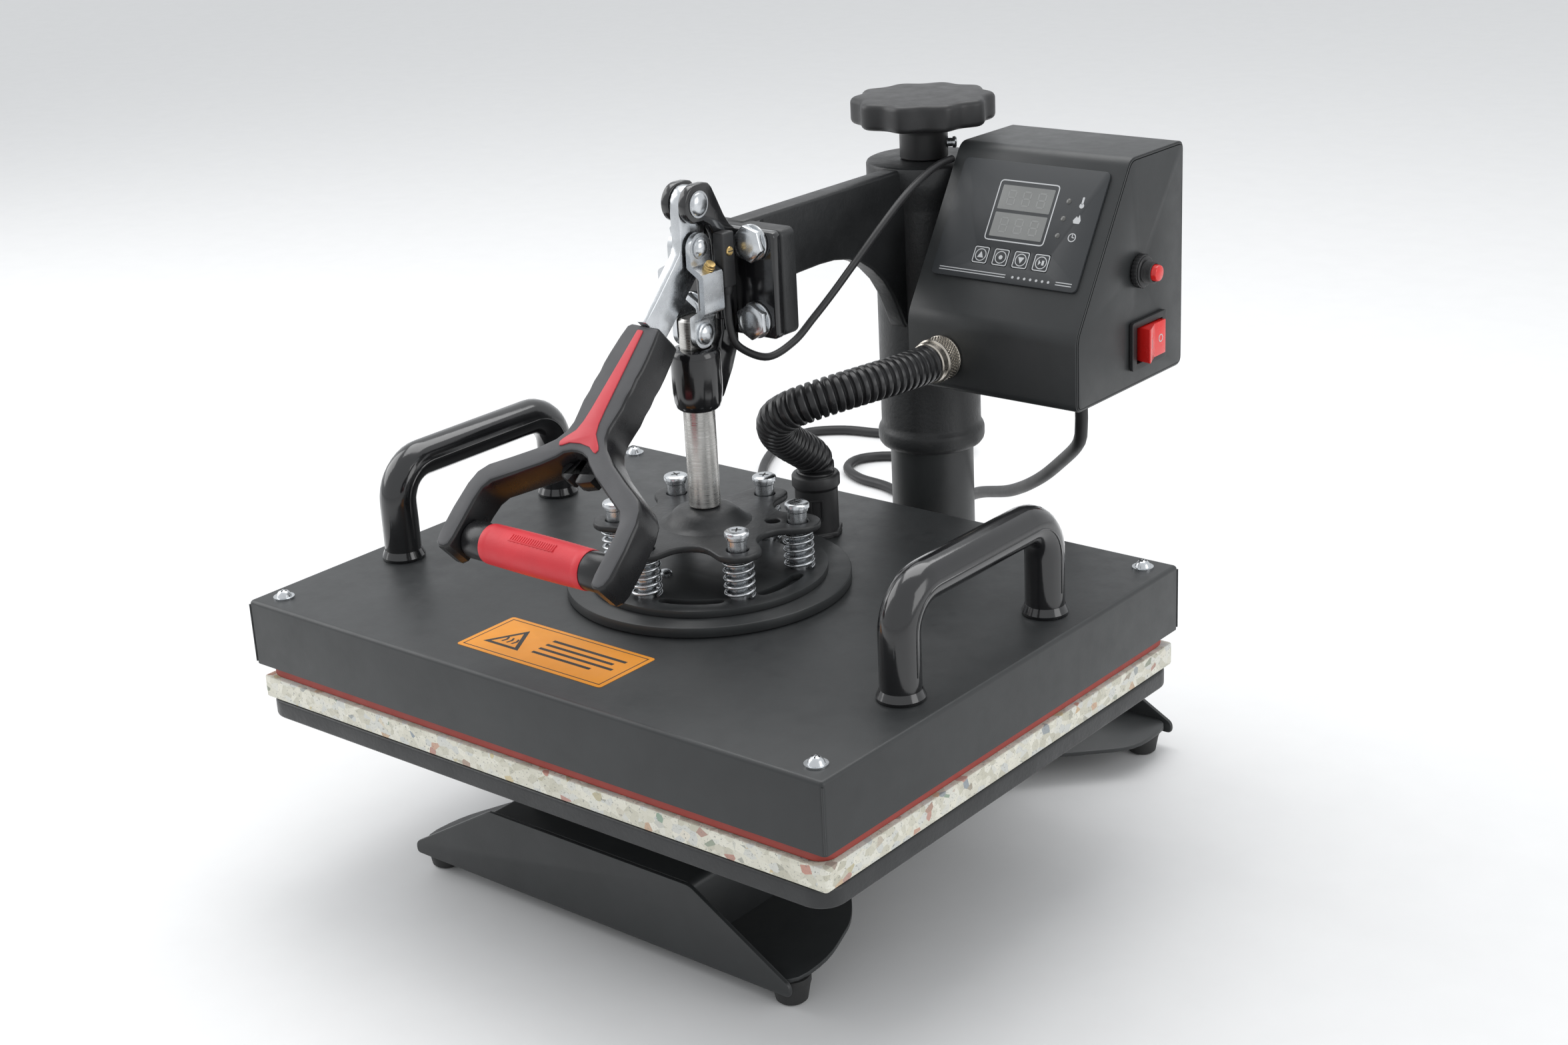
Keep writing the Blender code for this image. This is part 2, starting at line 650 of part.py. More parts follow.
def make_arm():
    """Cast swing arm: a sleeve on the post, a web and the flange that holds the clamp."""
    arm = turned("swing_arm", [
        (0, ARM_TOP), (BOSS_RADIUS, ARM_TOP), (BOSS_RADIUS, ARM_TOP - BOSS_DEPTH),
        (SLEEVE_RADIUS, ARM_TOP - 2.5 * BOSS_DEPTH), (SLEEVE_RADIUS, SLEEVE_BOTTOM + BEAD_HEIGHT),
        (BEAD_RADIUS, SLEEVE_BOTTOM + 0.8 * BEAD_HEIGHT),
        (BEAD_RADIUS, SLEEVE_BOTTOM + 0.3 * BEAD_HEIGHT), (SLEEVE_RADIUS, SLEEVE_BOTTOM),
        (0, SLEEVE_BOTTOM),
    ], POWDER_BLACK, at(0, POST_Y, 0), steps=40)
    front = PLATEN_Y + FLANGE_FRONT
    root = POST_Y - SLEEVE_RADIUS
    top = ARM_TOP - MM
    under = ARM_TOP - WEB_DEPTH
    web_outline = [
        (front + 4 * MM, top), (POST_Y, top), (POST_Y, under - 52 * MM),
        (root + 2 * MM, under - 52 * MM), (root - 5 * MM, under - 42 * MM),
        (root - 14 * MM, under - 26 * MM), (root - 28 * MM, under - 12 * MM),
        (root - 48 * MM, under - 2.5 * MM), (root - 72 * MM, under),
        (front + 26 * MM, under - 1.5 * MM), (front + 4 * MM, under - 10 * MM),
    ]
    web = solid_plate("arm_web", [web_outline], WEB_THICKNESS, None, along_x(0, 0, 0))
    flange = block("arm_flange", (-FLANGE_HALF, front, FLANGE_BOTTOM),
                   (FLANGE_HALF, front + FLANGE_THICKNESS, FLANGE_TOP))
    bore = cylinder("arm_bore", POST_RADIUS + SLEEVE_CLEARANCE, SLEEVE_BOTTOM - MM, BOSS_BOTTOM,
                    matrix=at(0, POST_Y, 0))
    hole = cylinder("spindle_hole", SPINDLE_RADIUS + SPINDLE_CLEARANCE, BOSS_BOTTOM - MM,
                    ARM_TOP + MM, matrix=at(0, POST_Y, 0))
    cut(join(arm, web, flange), bore, hole)


def make_bracket():
    """Clamp bracket: back plate, two ears for the lever and the sleeve that guides the rod."""
    back = BRACKET_FRONT
    bracket = block("clamp_bracket", (-FLANGE_HALF, PLATEN_Y + back, FLANGE_BOTTOM),
                    (FLANGE_HALF, PLATEN_Y + back + BRACKET_THICKNESS, FLANGE_TOP), GLOSS_BLACK)
    ear_inner = LEVER_THICKNESS / 2 + SLIDE_CLEARANCE
    tip = PIVOT_Z + EAR_RADIUS
    ear_outline = arc((0, PIVOT_Z), EAR_RADIUS, 255, 105, 8) + [
        (8 * MM, tip - MM), (19 * MM, PIVOT_Z - 9 * MM), (back + 2 * MM, FLANGE_TOP - MM),
        (back + 2 * MM, FLANGE_BOTTOM + 10 * MM), (13 * MM, FLANGE_BOTTOM + 10 * MM),
        (12 * MM, LINK_PIN_Z + 2 * MM), (6 * MM, PIVOT_Z - EAR_RADIUS + MM),
    ]
    pieces = []
    for side, name in ((-1, "ear_left"), (1, "ear_right")):
        place_x = side * (ear_inner + EAR_THICKNESS / 2)
        pieces.append(solid_plate(name, [ear_outline], EAR_THICKNESS, None,
                                  along_x(place_x, PLATEN_Y, 0)))
    web_outline = [
        (10 * MM, GUIDE_BOTTOM + 2 * MM), (14 * MM, GUIDE_BOTTOM + 2 * MM),
        (back + 3 * MM, GUIDE_TOP - 3 * MM), (back + 3 * MM, FLANGE_TOP - 3 * MM),
        (15 * MM, FLANGE_TOP - 3 * MM), (15 * MM, GUIDE_TOP + 6 * MM), (10 * MM, GUIDE_TOP - 4 * MM),
    ]
    pieces.append(solid_plate("guide_web", [web_outline], WEB_THICKNESS, None,
                              along_x(0, PLATEN_Y, 0)))
    neck = GUIDE_RADIUS - 2 * MM
    pieces.append(turned("guide_sleeve", [
        (0, GUIDE_TOP), (neck, GUIDE_TOP), (GUIDE_RADIUS, GUIDE_TOP - 3 * MM),
        (GUIDE_RADIUS, GUIDE_BOTTOM + 7 * MM), (neck, GUIDE_BOTTOM), (0, GUIDE_BOTTOM),
    ], None, at(0, PLATEN_Y, 0)))
    bore = cylinder("guide_bore", ROD_RADIUS + GUIDE_CLEARANCE, GUIDE_BOTTOM - MM,
                    GUIDE_TOP + MM, matrix=at(0, PLATEN_Y, 0))
    pin_hole = cylinder("pivot_hole", PIVOT_RADIUS + PIN_CLEARANCE, -15 * MM, 15 * MM,
                        matrix=along_x(0, PLATEN_Y, PIVOT_Z))
    cut(join(bracket, *pieces), pin_hole, bore)
    rivet("lever_pivot_pin", PIVOT_RADIUS, ear_inner + EAR_THICKNESS + GAP, PIVOT_Z, 1.4)
    x = BOLT_X
    for i, name in enumerate(("lower_left", "lower_right", "upper_left", "upper_right")):
        z = FLANGE_TOP - BOLT_EDGE + 2 * MM if i > 1 else FLANGE_BOTTOM + BOLT_EDGE + MM
        face = PLATEN_Y + BRACKET_FRONT - GAP
        hexagon = ring_points((0, 0), BOLT_FLATS / math.sqrt(3), 6)
        plate("clamp_bolt_" + name, [hexagon], BOLT_HEAD, ZINC,
              along_y(x if i % 2 else -x, face - BOLT_HEAD / 2, z))


def rivet(name, radius, half, z, head):
    """A domed rivet through both sides of the clamp, along X, in the platen's middle plane."""
    crown = radius * head
    turned(name, [(0, half + 2.4 * MM), (0.6 * crown, half + 2 * MM), (crown, half + 0.8 * MM),
                  (crown, half), (radius, half), (radius, -half), (crown, -half),
                  (crown, -half - 0.8 * MM), (0.6 * crown, -half - 2 * MM), (0, -half - 2.4 * MM)],
           ZINC, along_x(0, PLATEN_Y, z), steps=24)


def slope(x, up, out):
    """A frame on the sloping front of the control box: X to the right, Y up it, Z out of it."""
    turn = Matrix.Rotation(SLOPE_ANGLE, 4, "X")
    return Matrix.Translation(SLOPE_START + Vector((x, 0, 0))) @ turn @ at(0, up, out)


def box_outline(inset=0.0):
    """The control box's side profile as (y, z) points, in by a wall."""
    lean = inset * (1 / math.sin(SLOPE_ANGLE) - 1 / math.tan(SLOPE_ANGLE))
    return [
        (BOX_FRONT_Y + inset, BOX_BOTTOM + inset), (BOX_REAR_Y - inset, BOX_BOTTOM + inset),
        (BOX_REAR_Y - inset, BOX_TOP - inset),
        (BOX_FRONT_Y + BOX_SLOPE_RUN + inset * math.tan(SLOPE_ANGLE / 2), BOX_TOP - inset),
        (BOX_FRONT_Y + inset, BOX_BOTTOM + BOX_CHIN - lean + inset * 0.2),
    ]


def make_box():
    """Control box: a folded shell closed by a side plate, with the board inside it."""
    depth = BOX_WIDTH - BOX_WALL - GAP
    shell = solid_plate("control_box", [box_outline()], depth, POWDER_BLACK,
                        along_x(BOX_LEFT + depth / 2, 0, 0))
    room = solid_plate("box_room", [box_outline(BOX_WALL)], depth, None,
                       along_x(BOX_LEFT + BOX_WALL + depth / 2, 0, 0))
    cut(shell, room)
    cover = solid_plate("box_side_cover", [box_outline()], BOX_WALL, POWDER_BLACK,
                        along_x(BOX_RIGHT - BOX_WALL / 2, 0, 0))
    window_y = BEZEL_WIDTH / 2 - 2 * MM
    window_z = BEZEL_HEIGHT / 2 - 2 * MM
    window = block("switch_window", (BOX_RIGHT - 5 * MM, BEZEL_Y - window_y, BEZEL_Z - window_z),
                   (BOX_RIGHT + 5 * MM, BEZEL_Y + window_y, BEZEL_Z + window_z))
    hole = cylinder("breaker_hole", 6 * MM, -5 * MM, 5 * MM,
                    matrix=along_x(BOX_RIGHT, BREAKER_Y, BREAKER_Z))
    cut(cover, window, hole)
    middle = BOX_LEFT + BOX_WIDTH / 2
    block("control_board", (-BOARD_WIDTH / 2, -BOARD_LENGTH / 2, -BOARD_THICKNESS),
          (BOARD_WIDTH / 2, BOARD_LENGTH / 2, 0), BOARD_GREEN,
          matrix=slope(middle, PANEL_START + PANEL_LENGTH / 2, -BOARD_DEPTH))


def make_panel():
    """Display panel on the slope, with four keys in their own openings."""
    left, right = BOX_LEFT + PANEL_LEFT, BOX_LEFT + PANEL_LEFT + PANEL_WIDTH
    outer = [(left, PANEL_START), (right, PANEL_START), (right, PANEL_START + PANEL_LENGTH),
             (left, PANEL_START + PANEL_LENGTH)]
    outlines = [outer]
    middles = [BOX_LEFT + KEY_FIRST + KEY_PITCH * i for i in range(4)]
    room = KEY_SIZE / 2 + KEY_CLEARANCE
    for middle in middles:
        outlines.append([(middle - room, KEY_UP - room), (middle + room, KEY_UP - room),
                         (middle + room, KEY_UP + room), (middle - room, KEY_UP + room)])
    plate("control_panel", outlines, PANEL_THICKNESS, PANEL_GREY,
          slope(0, 0, GAP + PANEL_THICKNESS / 2))
    half = KEY_SIZE / 2
    for middle, name in zip(middles, ("up", "set", "down", "start")):
        block("key_" + name, (-half, -half, 0), (half, half, KEY_THICKNESS), PANEL_GREY,
              matrix=slope(middle, KEY_UP, KEY_LIFT))


def make_box_fittings():
    """Conduit gland, cord strain relief, rocker switch and resettable breaker."""
    turned("conduit_gland", [
        (0, 0), (GLAND_RADIUS, 0), (GLAND_RADIUS, 9 * MM), (GLAND_RADIUS - MM, 10 * MM),
        (GLAND_RADIUS - MM, GLAND_LENGTH), (0, GLAND_LENGTH),
    ], NICKEL, along_y(GLAND_X, BOX_FRONT_Y - GAP, BOX_BOTTOM + GLAND_UP), steps=24)
    turned("cord_strain_relief", [
        (0, -GAP), (RELIEF_RADIUS + 2 * MM, -GAP), (RELIEF_RADIUS + 2 * MM, -3 * MM),
        (RELIEF_RADIUS, -4 * MM), (CORD_RADIUS + MM, -RELIEF_LENGTH), (0, -RELIEF_LENGTH),
    ], RUBBER_BLACK, at(RELIEF_X, RELIEF_Y, BOX_BOTTOM), steps=24)
    out = BOX_RIGHT + GAP
    bezel = block("switch_bezel", (out, BEZEL_Y - BEZEL_WIDTH / 2, BEZEL_Z - BEZEL_HEIGHT / 2),
                  (out + BEZEL_FLANGE, BEZEL_Y + BEZEL_WIDTH / 2, BEZEL_Z + BEZEL_HEIGHT / 2),
                  SATIN_PLASTIC)
    y, z = BEZEL_WIDTH / 2 - 2.5 * MM, BEZEL_HEIGHT / 2 - 2.5 * MM
    barrel = block("switch_barrel", (out - BEZEL_DEPTH, BEZEL_Y - y, BEZEL_Z - z),
                   (out + MM, BEZEL_Y + y, BEZEL_Z + z))
    y, z = ROCKER_HALF + 2 * MM, ROCKER_HEIGHT / 2 + 0.4 * MM
    well = block("rocker_well", (out - 0.75 * BEZEL_DEPTH, BEZEL_Y - y, BEZEL_Z - z),
                 (out + 5 * MM, BEZEL_Y + y, BEZEL_Z + z))
    cut(join(bezel, barrel), well)
    tilt = Matrix.Rotation(ROCKER_TILT, 4, "Z")
    length, proud = ROCKER_HALF, 6 * MM
    outline = [(proud, -length), (proud - 2.2 * MM, 0), (proud, length), (-3 * MM, length - 3 * MM),
               (-3 * MM, 3 * MM - length)]
    plate("power_rocker", [outline], ROCKER_HEIGHT, SWITCH_RED,
          at(BOX_RIGHT + BEZEL_FLANGE - MM, BEZEL_Y, BEZEL_Z) @ tilt)
    bore = BUTTON_RADIUS + 0.3 * MM
    turned("breaker_body", [
        (0, -4 * MM), (bore, -4 * MM), (bore, 10 * MM), (bore + MM, 10 * MM),
        (bore + MM, 7 * MM), (BREAKER_NUT, 7 * MM), (BREAKER_NUT, GAP), (5.6 * MM, GAP),
        (5.6 * MM, -BOX_WALL - GAP), (9 * MM, -BOX_WALL - GAP), (9 * MM, -20 * MM), (0, -20 * MM),
    ], SATIN_PLASTIC, along_x(BOX_RIGHT, BREAKER_Y, BREAKER_Z), steps=24)
    cylinder("reset_button", BUTTON_RADIUS, -4 * MM + BUTTON_TRAVEL + GAP, 13 * MM, SWITCH_RED,
             along_x(BOX_RIGHT, BREAKER_Y, BREAKER_Z), sides=24)


def make_sensor():
    """Closing sensor on the clamp bracket, and its cable to the control box."""
    side = LEVER_THICKNESS / 2 + SLIDE_CLEARANCE + EAR_THICKNESS + GAP
    low = Vector((side, PLATEN_Y + LINK_HALF_WIDTH + MM, FLANGE_TOP - 27 * MM))
    block("closing_sensor", low, low + Vector((7 * MM, 9 * MM, 28 * MM)), SATIN_PLASTIC)
    route = smooth_route(from_platen(CABLE_ROUTE, 0, 1), 7 * MM)
    tube("sensor_cable", route, CABLE_RADIUS, RUBBER_BLACK, sides=2)


def centreline(points, half_width, round_end=8):
    """The outline of a bar of even width along a bent centreline, with a round first end."""
    line = [Vector(p) for p in points]
    left, right = [], []
    for i, point in enumerate(line):
        before = (point - line[i - 1]).normalized() if i else None
        after = (line[i + 1] - point).normalized() if i + 1 < len(line) else None
        side = ((before or after) + (after or before)).normalized()
        normal = Vector((-side.y, side.x))
        reach = half_width / max(0.5, normal.dot(Vector((-(after or before).y,
                                                         (after or before).x))))
        left.append(tuple(point + normal * reach))
        right.append(tuple(point - normal * reach))
    start = (line[1] - line[0]).normalized()
    angle = math.degrees(math.atan2(start.y, start.x))
    cap = arc(line[0], half_width, angle + 90, angle + 270, round_end)
    return cap[1:-1] + right + list(reversed(left))


def make_lever():
    """Lever bar, its forked handle and the grip across the fork."""
    down = Vector((-math.sin(GRIP_SLOPE), -math.cos(GRIP_SLOPE)))
    root = Vector((HANDLE_ROOT_Y, HANDLE_ROOT_Z))
    points = [(0, PIVOT_Z), (0, LINK_PIN_Z - 4 * MM), root,
              tuple(root + down * (BODY_START + BAR_INSERT - GAP))]
    bar = solid_plate("lever_bar", [centreline(points, LEVER_HALF_WIDTH)], LEVER_THICKNESS, ZINC,
                      along_x(0, PLATEN_Y, 0))
    for name, radius, z in (("bar_pivot_hole", PIVOT_RADIUS, PIVOT_Z),
                            ("bar_link_hole", PIN_RADIUS, LINK_PIN_Z)):
        hole = cylinder(name, radius + PIN_CLEARANCE, -8 * MM, 8 * MM,
                        matrix=along_x(0, PLATEN_Y, z))
        cut(bar, hole)
    rivet("link_pin", PIN_RADIUS, LINK_INNER + LINK_THICKNESS + GAP, LINK_PIN_Z, 1.6)

    # The handle's own frame has X across, Y down the slope and Z out of its back
    frame = Matrix((
        (1, 0, 0, 0),
        (0, down.x, -down.y, PLATEN_Y + root.x),
        (0, down.y, down.x, root.y),
        (0, 0, 0, 1),
    ))
    elbow = FORK_HALF - 5 * MM
    neck = BODY_HALF - 2 * MM
    inner = FORK_HALF - FORK_WIDTH
    outline = mirrored([
        (neck, BODY_START), (BODY_HALF, BODY_START + 8 * MM), (BODY_HALF, FORK_START),
        (elbow, FORK_ELBOW), (FORK_HALF, FORK_ELBOW + 28 * MM), (FORK_HALF, FORK_END - 6 * MM),
        (FORK_HALF - 4 * MM, FORK_END), (inner, FORK_END), (inner, FORK_ELBOW + 10 * MM),
        (inner - 4 * MM, FORK_ELBOW + 5 * MM), (BODY_HALF - 4 * MM, CROTCH), (0, CROTCH - 2 * MM),
    ])
    thickness = BODY_FRONT + BODY_BACK
    body = solid_plate("handle_body", [outline], thickness, SATIN_PLASTIC,
                       frame @ at(0, 0, (BODY_BACK - BODY_FRONT) / 2))
    slot = block("bar_slot",
                 (-LEVER_THICKNESS / 2 - GAP, BODY_START - 5 * MM, -BAR_TAIL_FRONT - GAP),
                 (LEVER_THICKNESS / 2 + GAP, BODY_START + BAR_INSERT, LEVER_HALF_WIDTH + GAP),
                 matrix=frame)
    cut(body, slot)
    cut(bar, block("bar_tail", (-LEVER_THICKNESS, BODY_START - MM, -2 * LEVER_HALF_WIDTH),
                   (LEVER_THICKNESS, BODY_START + 2 * BAR_INSERT, -BAR_TAIL_FRONT),
                   matrix=frame))
    centre = frame @ Vector((0, GRIP_ALONG, GRIP_DEPTH))
    reach = inner - GAP
    cylinder("handle_grip", GRIP_RADIUS, -reach, reach, GRIP_RED,
             along_x(0, centre.y, centre.z), sides=24)


def make_links():
    """A pair of joggled links between the lever and the rod."""
    inner, outer = LINK_INNER, LINK_INNER + LINK_THICKNESS
    end = LINK_HALF_WIDTH
    low, high = ROD_PIN_Z, LINK_PIN_Z
    joggle = 5 * MM
    for side, name in ((-1, "toggle_link_left"), (1, "toggle_link_right")):
        strip = [
            (outer, low - end - MM), (outer, low + end), (outer + LINK_STEP, low + end + joggle),
            (outer + LINK_STEP, high - end - joggle), (outer, high - end),
            (outer, high + end + MM), (inner, high + end + MM),
            (inner, high - end - joggle / 3), (inner + LINK_STEP, high - end - 1.3 * joggle),
            (inner + LINK_STEP, low + end + 1.3 * joggle), (inner, low + end + joggle / 3),
            (inner, low - end - MM),
        ]
        strip = [(side * x, z) for x, z in strip]
        link = solid_plate(name, [strip], 4 * LINK_HALF_WIDTH, ZINC, along_y(0, PLATEN_Y, 0))
        stadium = arc((0, high), end, 0, 180, 12) + arc((0, low), end, 180, 360, 12)
        limit = solid_plate(name + "_outline", [stadium], 60 * MM, None,
                            along_x(0, PLATEN_Y, 0))
        combine(link, limit, "INTERSECT")
        hole = cylinder(name + "_hole", PIN_RADIUS + PIN_CLEARANCE, -20 * MM, 20 * MM,
                        matrix=along_x(0, PLATEN_Y, high), sides=16)
        cut(link, hole)
        stub = turned(name + "_stub", [
            (0, 3 * MM), (2.5 * MM, 2.6 * MM), (4.6 * MM, MM), (4.6 * MM, -MM), (0, -MM),
        ], None, along_x(side * outer, PLATEN_Y, low) @ Matrix.Rotation(
            0 if side > 0 else math.pi, 4, "X"), steps=16)
        join(link, stub)


def make_plunger():
    """Steel rod with a flat tang, and the lobed spider plate under it."""
    top = ROD_PIN_Z + 8 * MM
    rod = turned("plunger_rod", [(0, top), (ROD_RADIUS - MM, top), (ROD_RADIUS, top - MM),
                                 (ROD_RADIUS, SPIDER_TOP + GAP), (0, SPIDER_TOP + GAP)],
                 STEEL, at(0, PLATEN_Y, 0))
    for side, name in ((-1, "flat_left"), (1, "flat_right")):
        far = ROD_RADIUS + 3 * MM
        low_x, high_x = sorted((side * ROD_TANG, side * far))
        cut(rod, block(name, (low_x, PLATEN_Y - far, ROD_PIN_Z - ROD_SHOULDER),
                       (high_x, PLATEN_Y + far, top + MM)))
    outline = []
    for i in range(STUD_COUNT):
        turn = 360 / STUD_COUNT * i - 30
        centre = Vector((math.cos(math.radians(turn)), math.sin(math.radians(turn)))) * STUD_RING
        outline += arc(centre, LOBE_RADIUS, turn - 80, turn + 80, 6)
        valley = math.radians(turn + 180 / STUD_COUNT)
        waist = STUD_RING - 9 * MM
        outline.append((waist * math.cos(valley), waist * math.sin(valley)))
    holes = [ring_points(Vector((math.cos(math.radians(t)), math.sin(math.radians(t))))
                         * STUD_RING, STUD_RADIUS + 0.6 * MM, 12) for t in stud_turns()]
    spider = solid_plate("spider_plate", [outline] + holes, LOBE_THICKNESS, POWDER_BLACK,
                         at(0, PLATEN_Y, LOBE_BOTTOM + LOBE_THICKNESS / 2))
    crown = turned("spider_crown", [
        (0, SPIDER_TOP), (SPIDER_CROWN / 2, SPIDER_TOP), (SPIDER_CROWN, LOBE_TOP - MM),
        (SPIDER_CROWN, LOBE_BOTTOM + MM), (0, LOBE_BOTTOM + MM),
    ], None, at(0, PLATEN_Y, 0))
    join(spider, crown)


def stud_turns():
    """Directions of the shoulder bolts round the platen's centre, in degrees."""
    return [360 / STUD_COUNT * i - 30 for i in range(STUD_COUNT)]


def make_heater():
    """Heating plate, its sheet cover, the two discs and the side handles."""
    half_x, half_y = COVER_WIDTH / 2, COVER_DEPTH / 2
    low = HEATER_BOTTOM + 0.2 * MM
    open_box("heater_cover", (-half_x, PLATEN_Y - half_y, low),
             (half_x, PLATEN_Y + half_y, COVER_TOP), COVER_WALL, POWDER_BLACK, (0, 0, -1))
    half_x, half_y = half_x - HEATER_INSET, half_y - HEATER_INSET
    block("heater_plate", (-half_x, PLATEN_Y - half_y, HEATER_BOTTOM),
          (half_x, PLATEN_Y + half_y, HEATER_BOTTOM + HEATER_THICKNESS), ALUMINIUM)
    cylinder("pressure_disc", DISC_RADIUS, COVER_TOP + GAP, DISC_TOP, POWDER_BLACK,
             at(0, PLATEN_Y, 0), sides=48)
    disc = cylinder("spring_disc", SPRING_DISC_RADIUS, DISC_TOP + GAP, SPRING_DISC_TOP,
                    POWDER_BLACK, at(0, PLATEN_Y, 0), sides=48)
    head = LOBE_TOP + STUD_TRAVEL
    for i, turn in enumerate(stud_turns()):
        centre = Vector((math.cos(math.radians(turn)), math.sin(math.radians(turn)))) * STUD_RING
        spot = at(centre.x, PLATEN_Y + centre.y, 0)
        stud = turned(f"stud_{i + 1}", [
            (0, head + STUD_HEAD), (STUD_HEAD_RADIUS, head + STUD_HEAD),
            (STUD_HEAD_RADIUS, head), (STUD_RADIUS, head), (STUD_RADIUS, DISC_TOP + MM),
            (0, DISC_TOP + MM),
        ], None, spot, steps=16)
        join(disc, stud)
        make_spring(f"spring_{i + 1}", spot)
    cylinder("conduit_connector", CONNECTOR_RADIUS, COVER_TOP + GAP,
             COVER_TOP + GAP + CONNECTOR_HEIGHT, SATIN_PLASTIC, at(
                 CONNECTOR_X, PLATEN_Y + DISC_RADIUS + CONNECTOR_RADIUS + 1.3 * MM, 0), sides=24)


def make_spring(name, spot):
    """A compression spring between the spring disc and a lobe, with closed ends."""
    low = SPRING_DISC_TOP + SPRING_WIRE + GAP
    high = LOBE_BOTTOM - SPRING_WIRE - GAP
    per_turn = 10
    count = round(SPRING_TURNS * per_turn)
    points = []
    for i in range(count + 1):
        turn = 2 * math.pi * i / per_turn
        share = (i - 0.75 * per_turn) / (count - 1.5 * per_turn)
        share = min(1.0, max(0.0, share))
        rest = 2.1 * SPRING_WIRE
        start = min(i / per_turn, 0.75) * rest / 0.75
        finish_rise = max(0.0, i / per_turn - SPRING_TURNS + 0.75) * rest / 0.75
        rise = low + start + finish_rise + share * (high - low - 2 * rest)
        points.append(spot @ Vector((SPRING_RADIUS * math.cos(turn),
                                     SPRING_RADIUS * math.sin(turn), rise)))
    tube(name, points, SPRING_WIRE, ZINC, sides=1)


def make_side_handles():
    low = COVER_TOP + GAP
    top = low + HANDLE_RISE - SIDE_HANDLE_RADIUS
    front, rear = PLATEN_Y - HANDLE_FRONT, PLATEN_Y + HANDLE_REAR
    bend_z = top - HANDLE_BEND
    line = [(front, low)]
    line += arc((front + HANDLE_BEND, bend_z), HANDLE_BEND, 180, 90, 6)
    line += arc((rear - HANDLE_BEND, bend_z), HANDLE_BEND, 90, 0, 6)
    line.append((rear, low))
    for side, name in ((-1, "side_handle_left"), (1, "side_handle_right")):
        points = [Vector((side * HANDLE_X, y, z)) for y, z in line]
        tube(name, points, SIDE_HANDLE_RADIUS, GLOSS_BLACK, sides=3)


def make_conduit():
    end = (CONNECTOR_X / MM, (DISC_RADIUS + CONNECTOR_RADIUS + 1.3 * MM) / MM,
           (COVER_TOP + 2 * GAP + CONNECTOR_HEIGHT) / MM)
    route = smooth_route(from_platen(CONDUIT_ROUTE + [end], 1, 0), 5 * MM)
    tube("conduit", route, CONDUIT_RADIUS, SATIN_PLASTIC, sides=3)


def make_cord():
    """Mains cord down from the control box and along the table, and its plug."""
    route = smooth_route(from_platen(CORD_ROUTE, 1, 1), 18 * MM)
    tube("power_cord", route, CORD_RADIUS, RUBBER_BLACK, sides=2)
    end = route[-1]
    low = end.z - PLUG_HEIGHT / 2
    neck = 16 * MM
    near = end.x - GAP
    plug = block("power_plug", (near - neck - PLUG_LENGTH, end.y - PLUG_WIDTH / 2, low),
                 (near - neck, end.y + PLUG_WIDTH / 2, low + PLUG_HEIGHT), RUBBER_BLACK)
    sleeve = turned("plug_neck", [
        (0, 0), (CORD_RADIUS + MM, 0), (CORD_RADIUS + 3.5 * MM, -neck - MM), (0, -neck - MM),
    ], None, along_x(near, end.y, end.z), steps=16)
    face = near - neck - PLUG_LENGTH
    blades = []
    for name, y in (("blade_front", -6.35 * MM), ("blade_rear", 6.35 * MM)):
        blades.append(block(name, (face - 16 * MM, end.y + y - 0.8 * MM, end.z - 1.5 * MM),
                            (face + MM, end.y + y + 0.8 * MM, end.z + 4.8 * MM)))
    earth = cylinder("earth_pin", 2.4 * MM, -18 * MM, MM,
                     matrix=along_x(face, end.y, end.z - 5 * MM), sides=12)
    join(plug, sleeve, earth, *blades)


make_base()
make_feet()
make_platen()
make_post()
make_knob()
make_arm()
make_bracket()
make_box()
make_panel()
make_box_fittings()
make_sensor()
make_lever()
make_links()
make_plunger()
make_heater()
make_side_handles()
make_conduit()
make_cord()
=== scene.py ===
# %% [markdown]
# # A swing-away heat press
#
# The imported model gives a fixed frame: solids in metres, with +Z up, -Y towards the operator and
# the origin on the table. Every new piece is made in that frame, and most ride on one of its
# bodies.
# The file runs from top to bottom: frame, camera, finishes, small tools, then piece by piece.

# %% Load the frame and remember its box
import math

import bmesh
import bpy
from mathutils import Matrix, Vector


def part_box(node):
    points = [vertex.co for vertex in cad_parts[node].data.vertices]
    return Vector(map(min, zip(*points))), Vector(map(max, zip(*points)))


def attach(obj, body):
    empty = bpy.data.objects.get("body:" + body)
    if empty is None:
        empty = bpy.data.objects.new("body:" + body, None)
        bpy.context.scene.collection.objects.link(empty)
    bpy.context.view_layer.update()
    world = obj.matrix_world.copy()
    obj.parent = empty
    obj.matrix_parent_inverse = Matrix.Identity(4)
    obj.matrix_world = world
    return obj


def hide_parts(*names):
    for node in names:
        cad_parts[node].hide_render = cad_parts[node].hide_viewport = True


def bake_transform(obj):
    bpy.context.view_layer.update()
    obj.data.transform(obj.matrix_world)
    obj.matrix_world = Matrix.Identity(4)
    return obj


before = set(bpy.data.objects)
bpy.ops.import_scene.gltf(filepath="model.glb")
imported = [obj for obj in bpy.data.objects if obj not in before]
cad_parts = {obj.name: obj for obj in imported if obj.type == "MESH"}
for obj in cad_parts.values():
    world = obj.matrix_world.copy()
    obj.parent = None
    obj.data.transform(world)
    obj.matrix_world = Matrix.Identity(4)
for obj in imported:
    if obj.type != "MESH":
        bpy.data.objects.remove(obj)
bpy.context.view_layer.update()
MM = 0.001

# %% [markdown]
# Most pieces stand on one of two upright lines: the platen's centre, which the clamp presses on,
# and the post's axis, which the arm turns about. Both come from the solids' own boxes.

# %% Shared lines of the machine


def middle(node):
    low, high = (Vector(corner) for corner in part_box(node))
    return (low + high) / 2


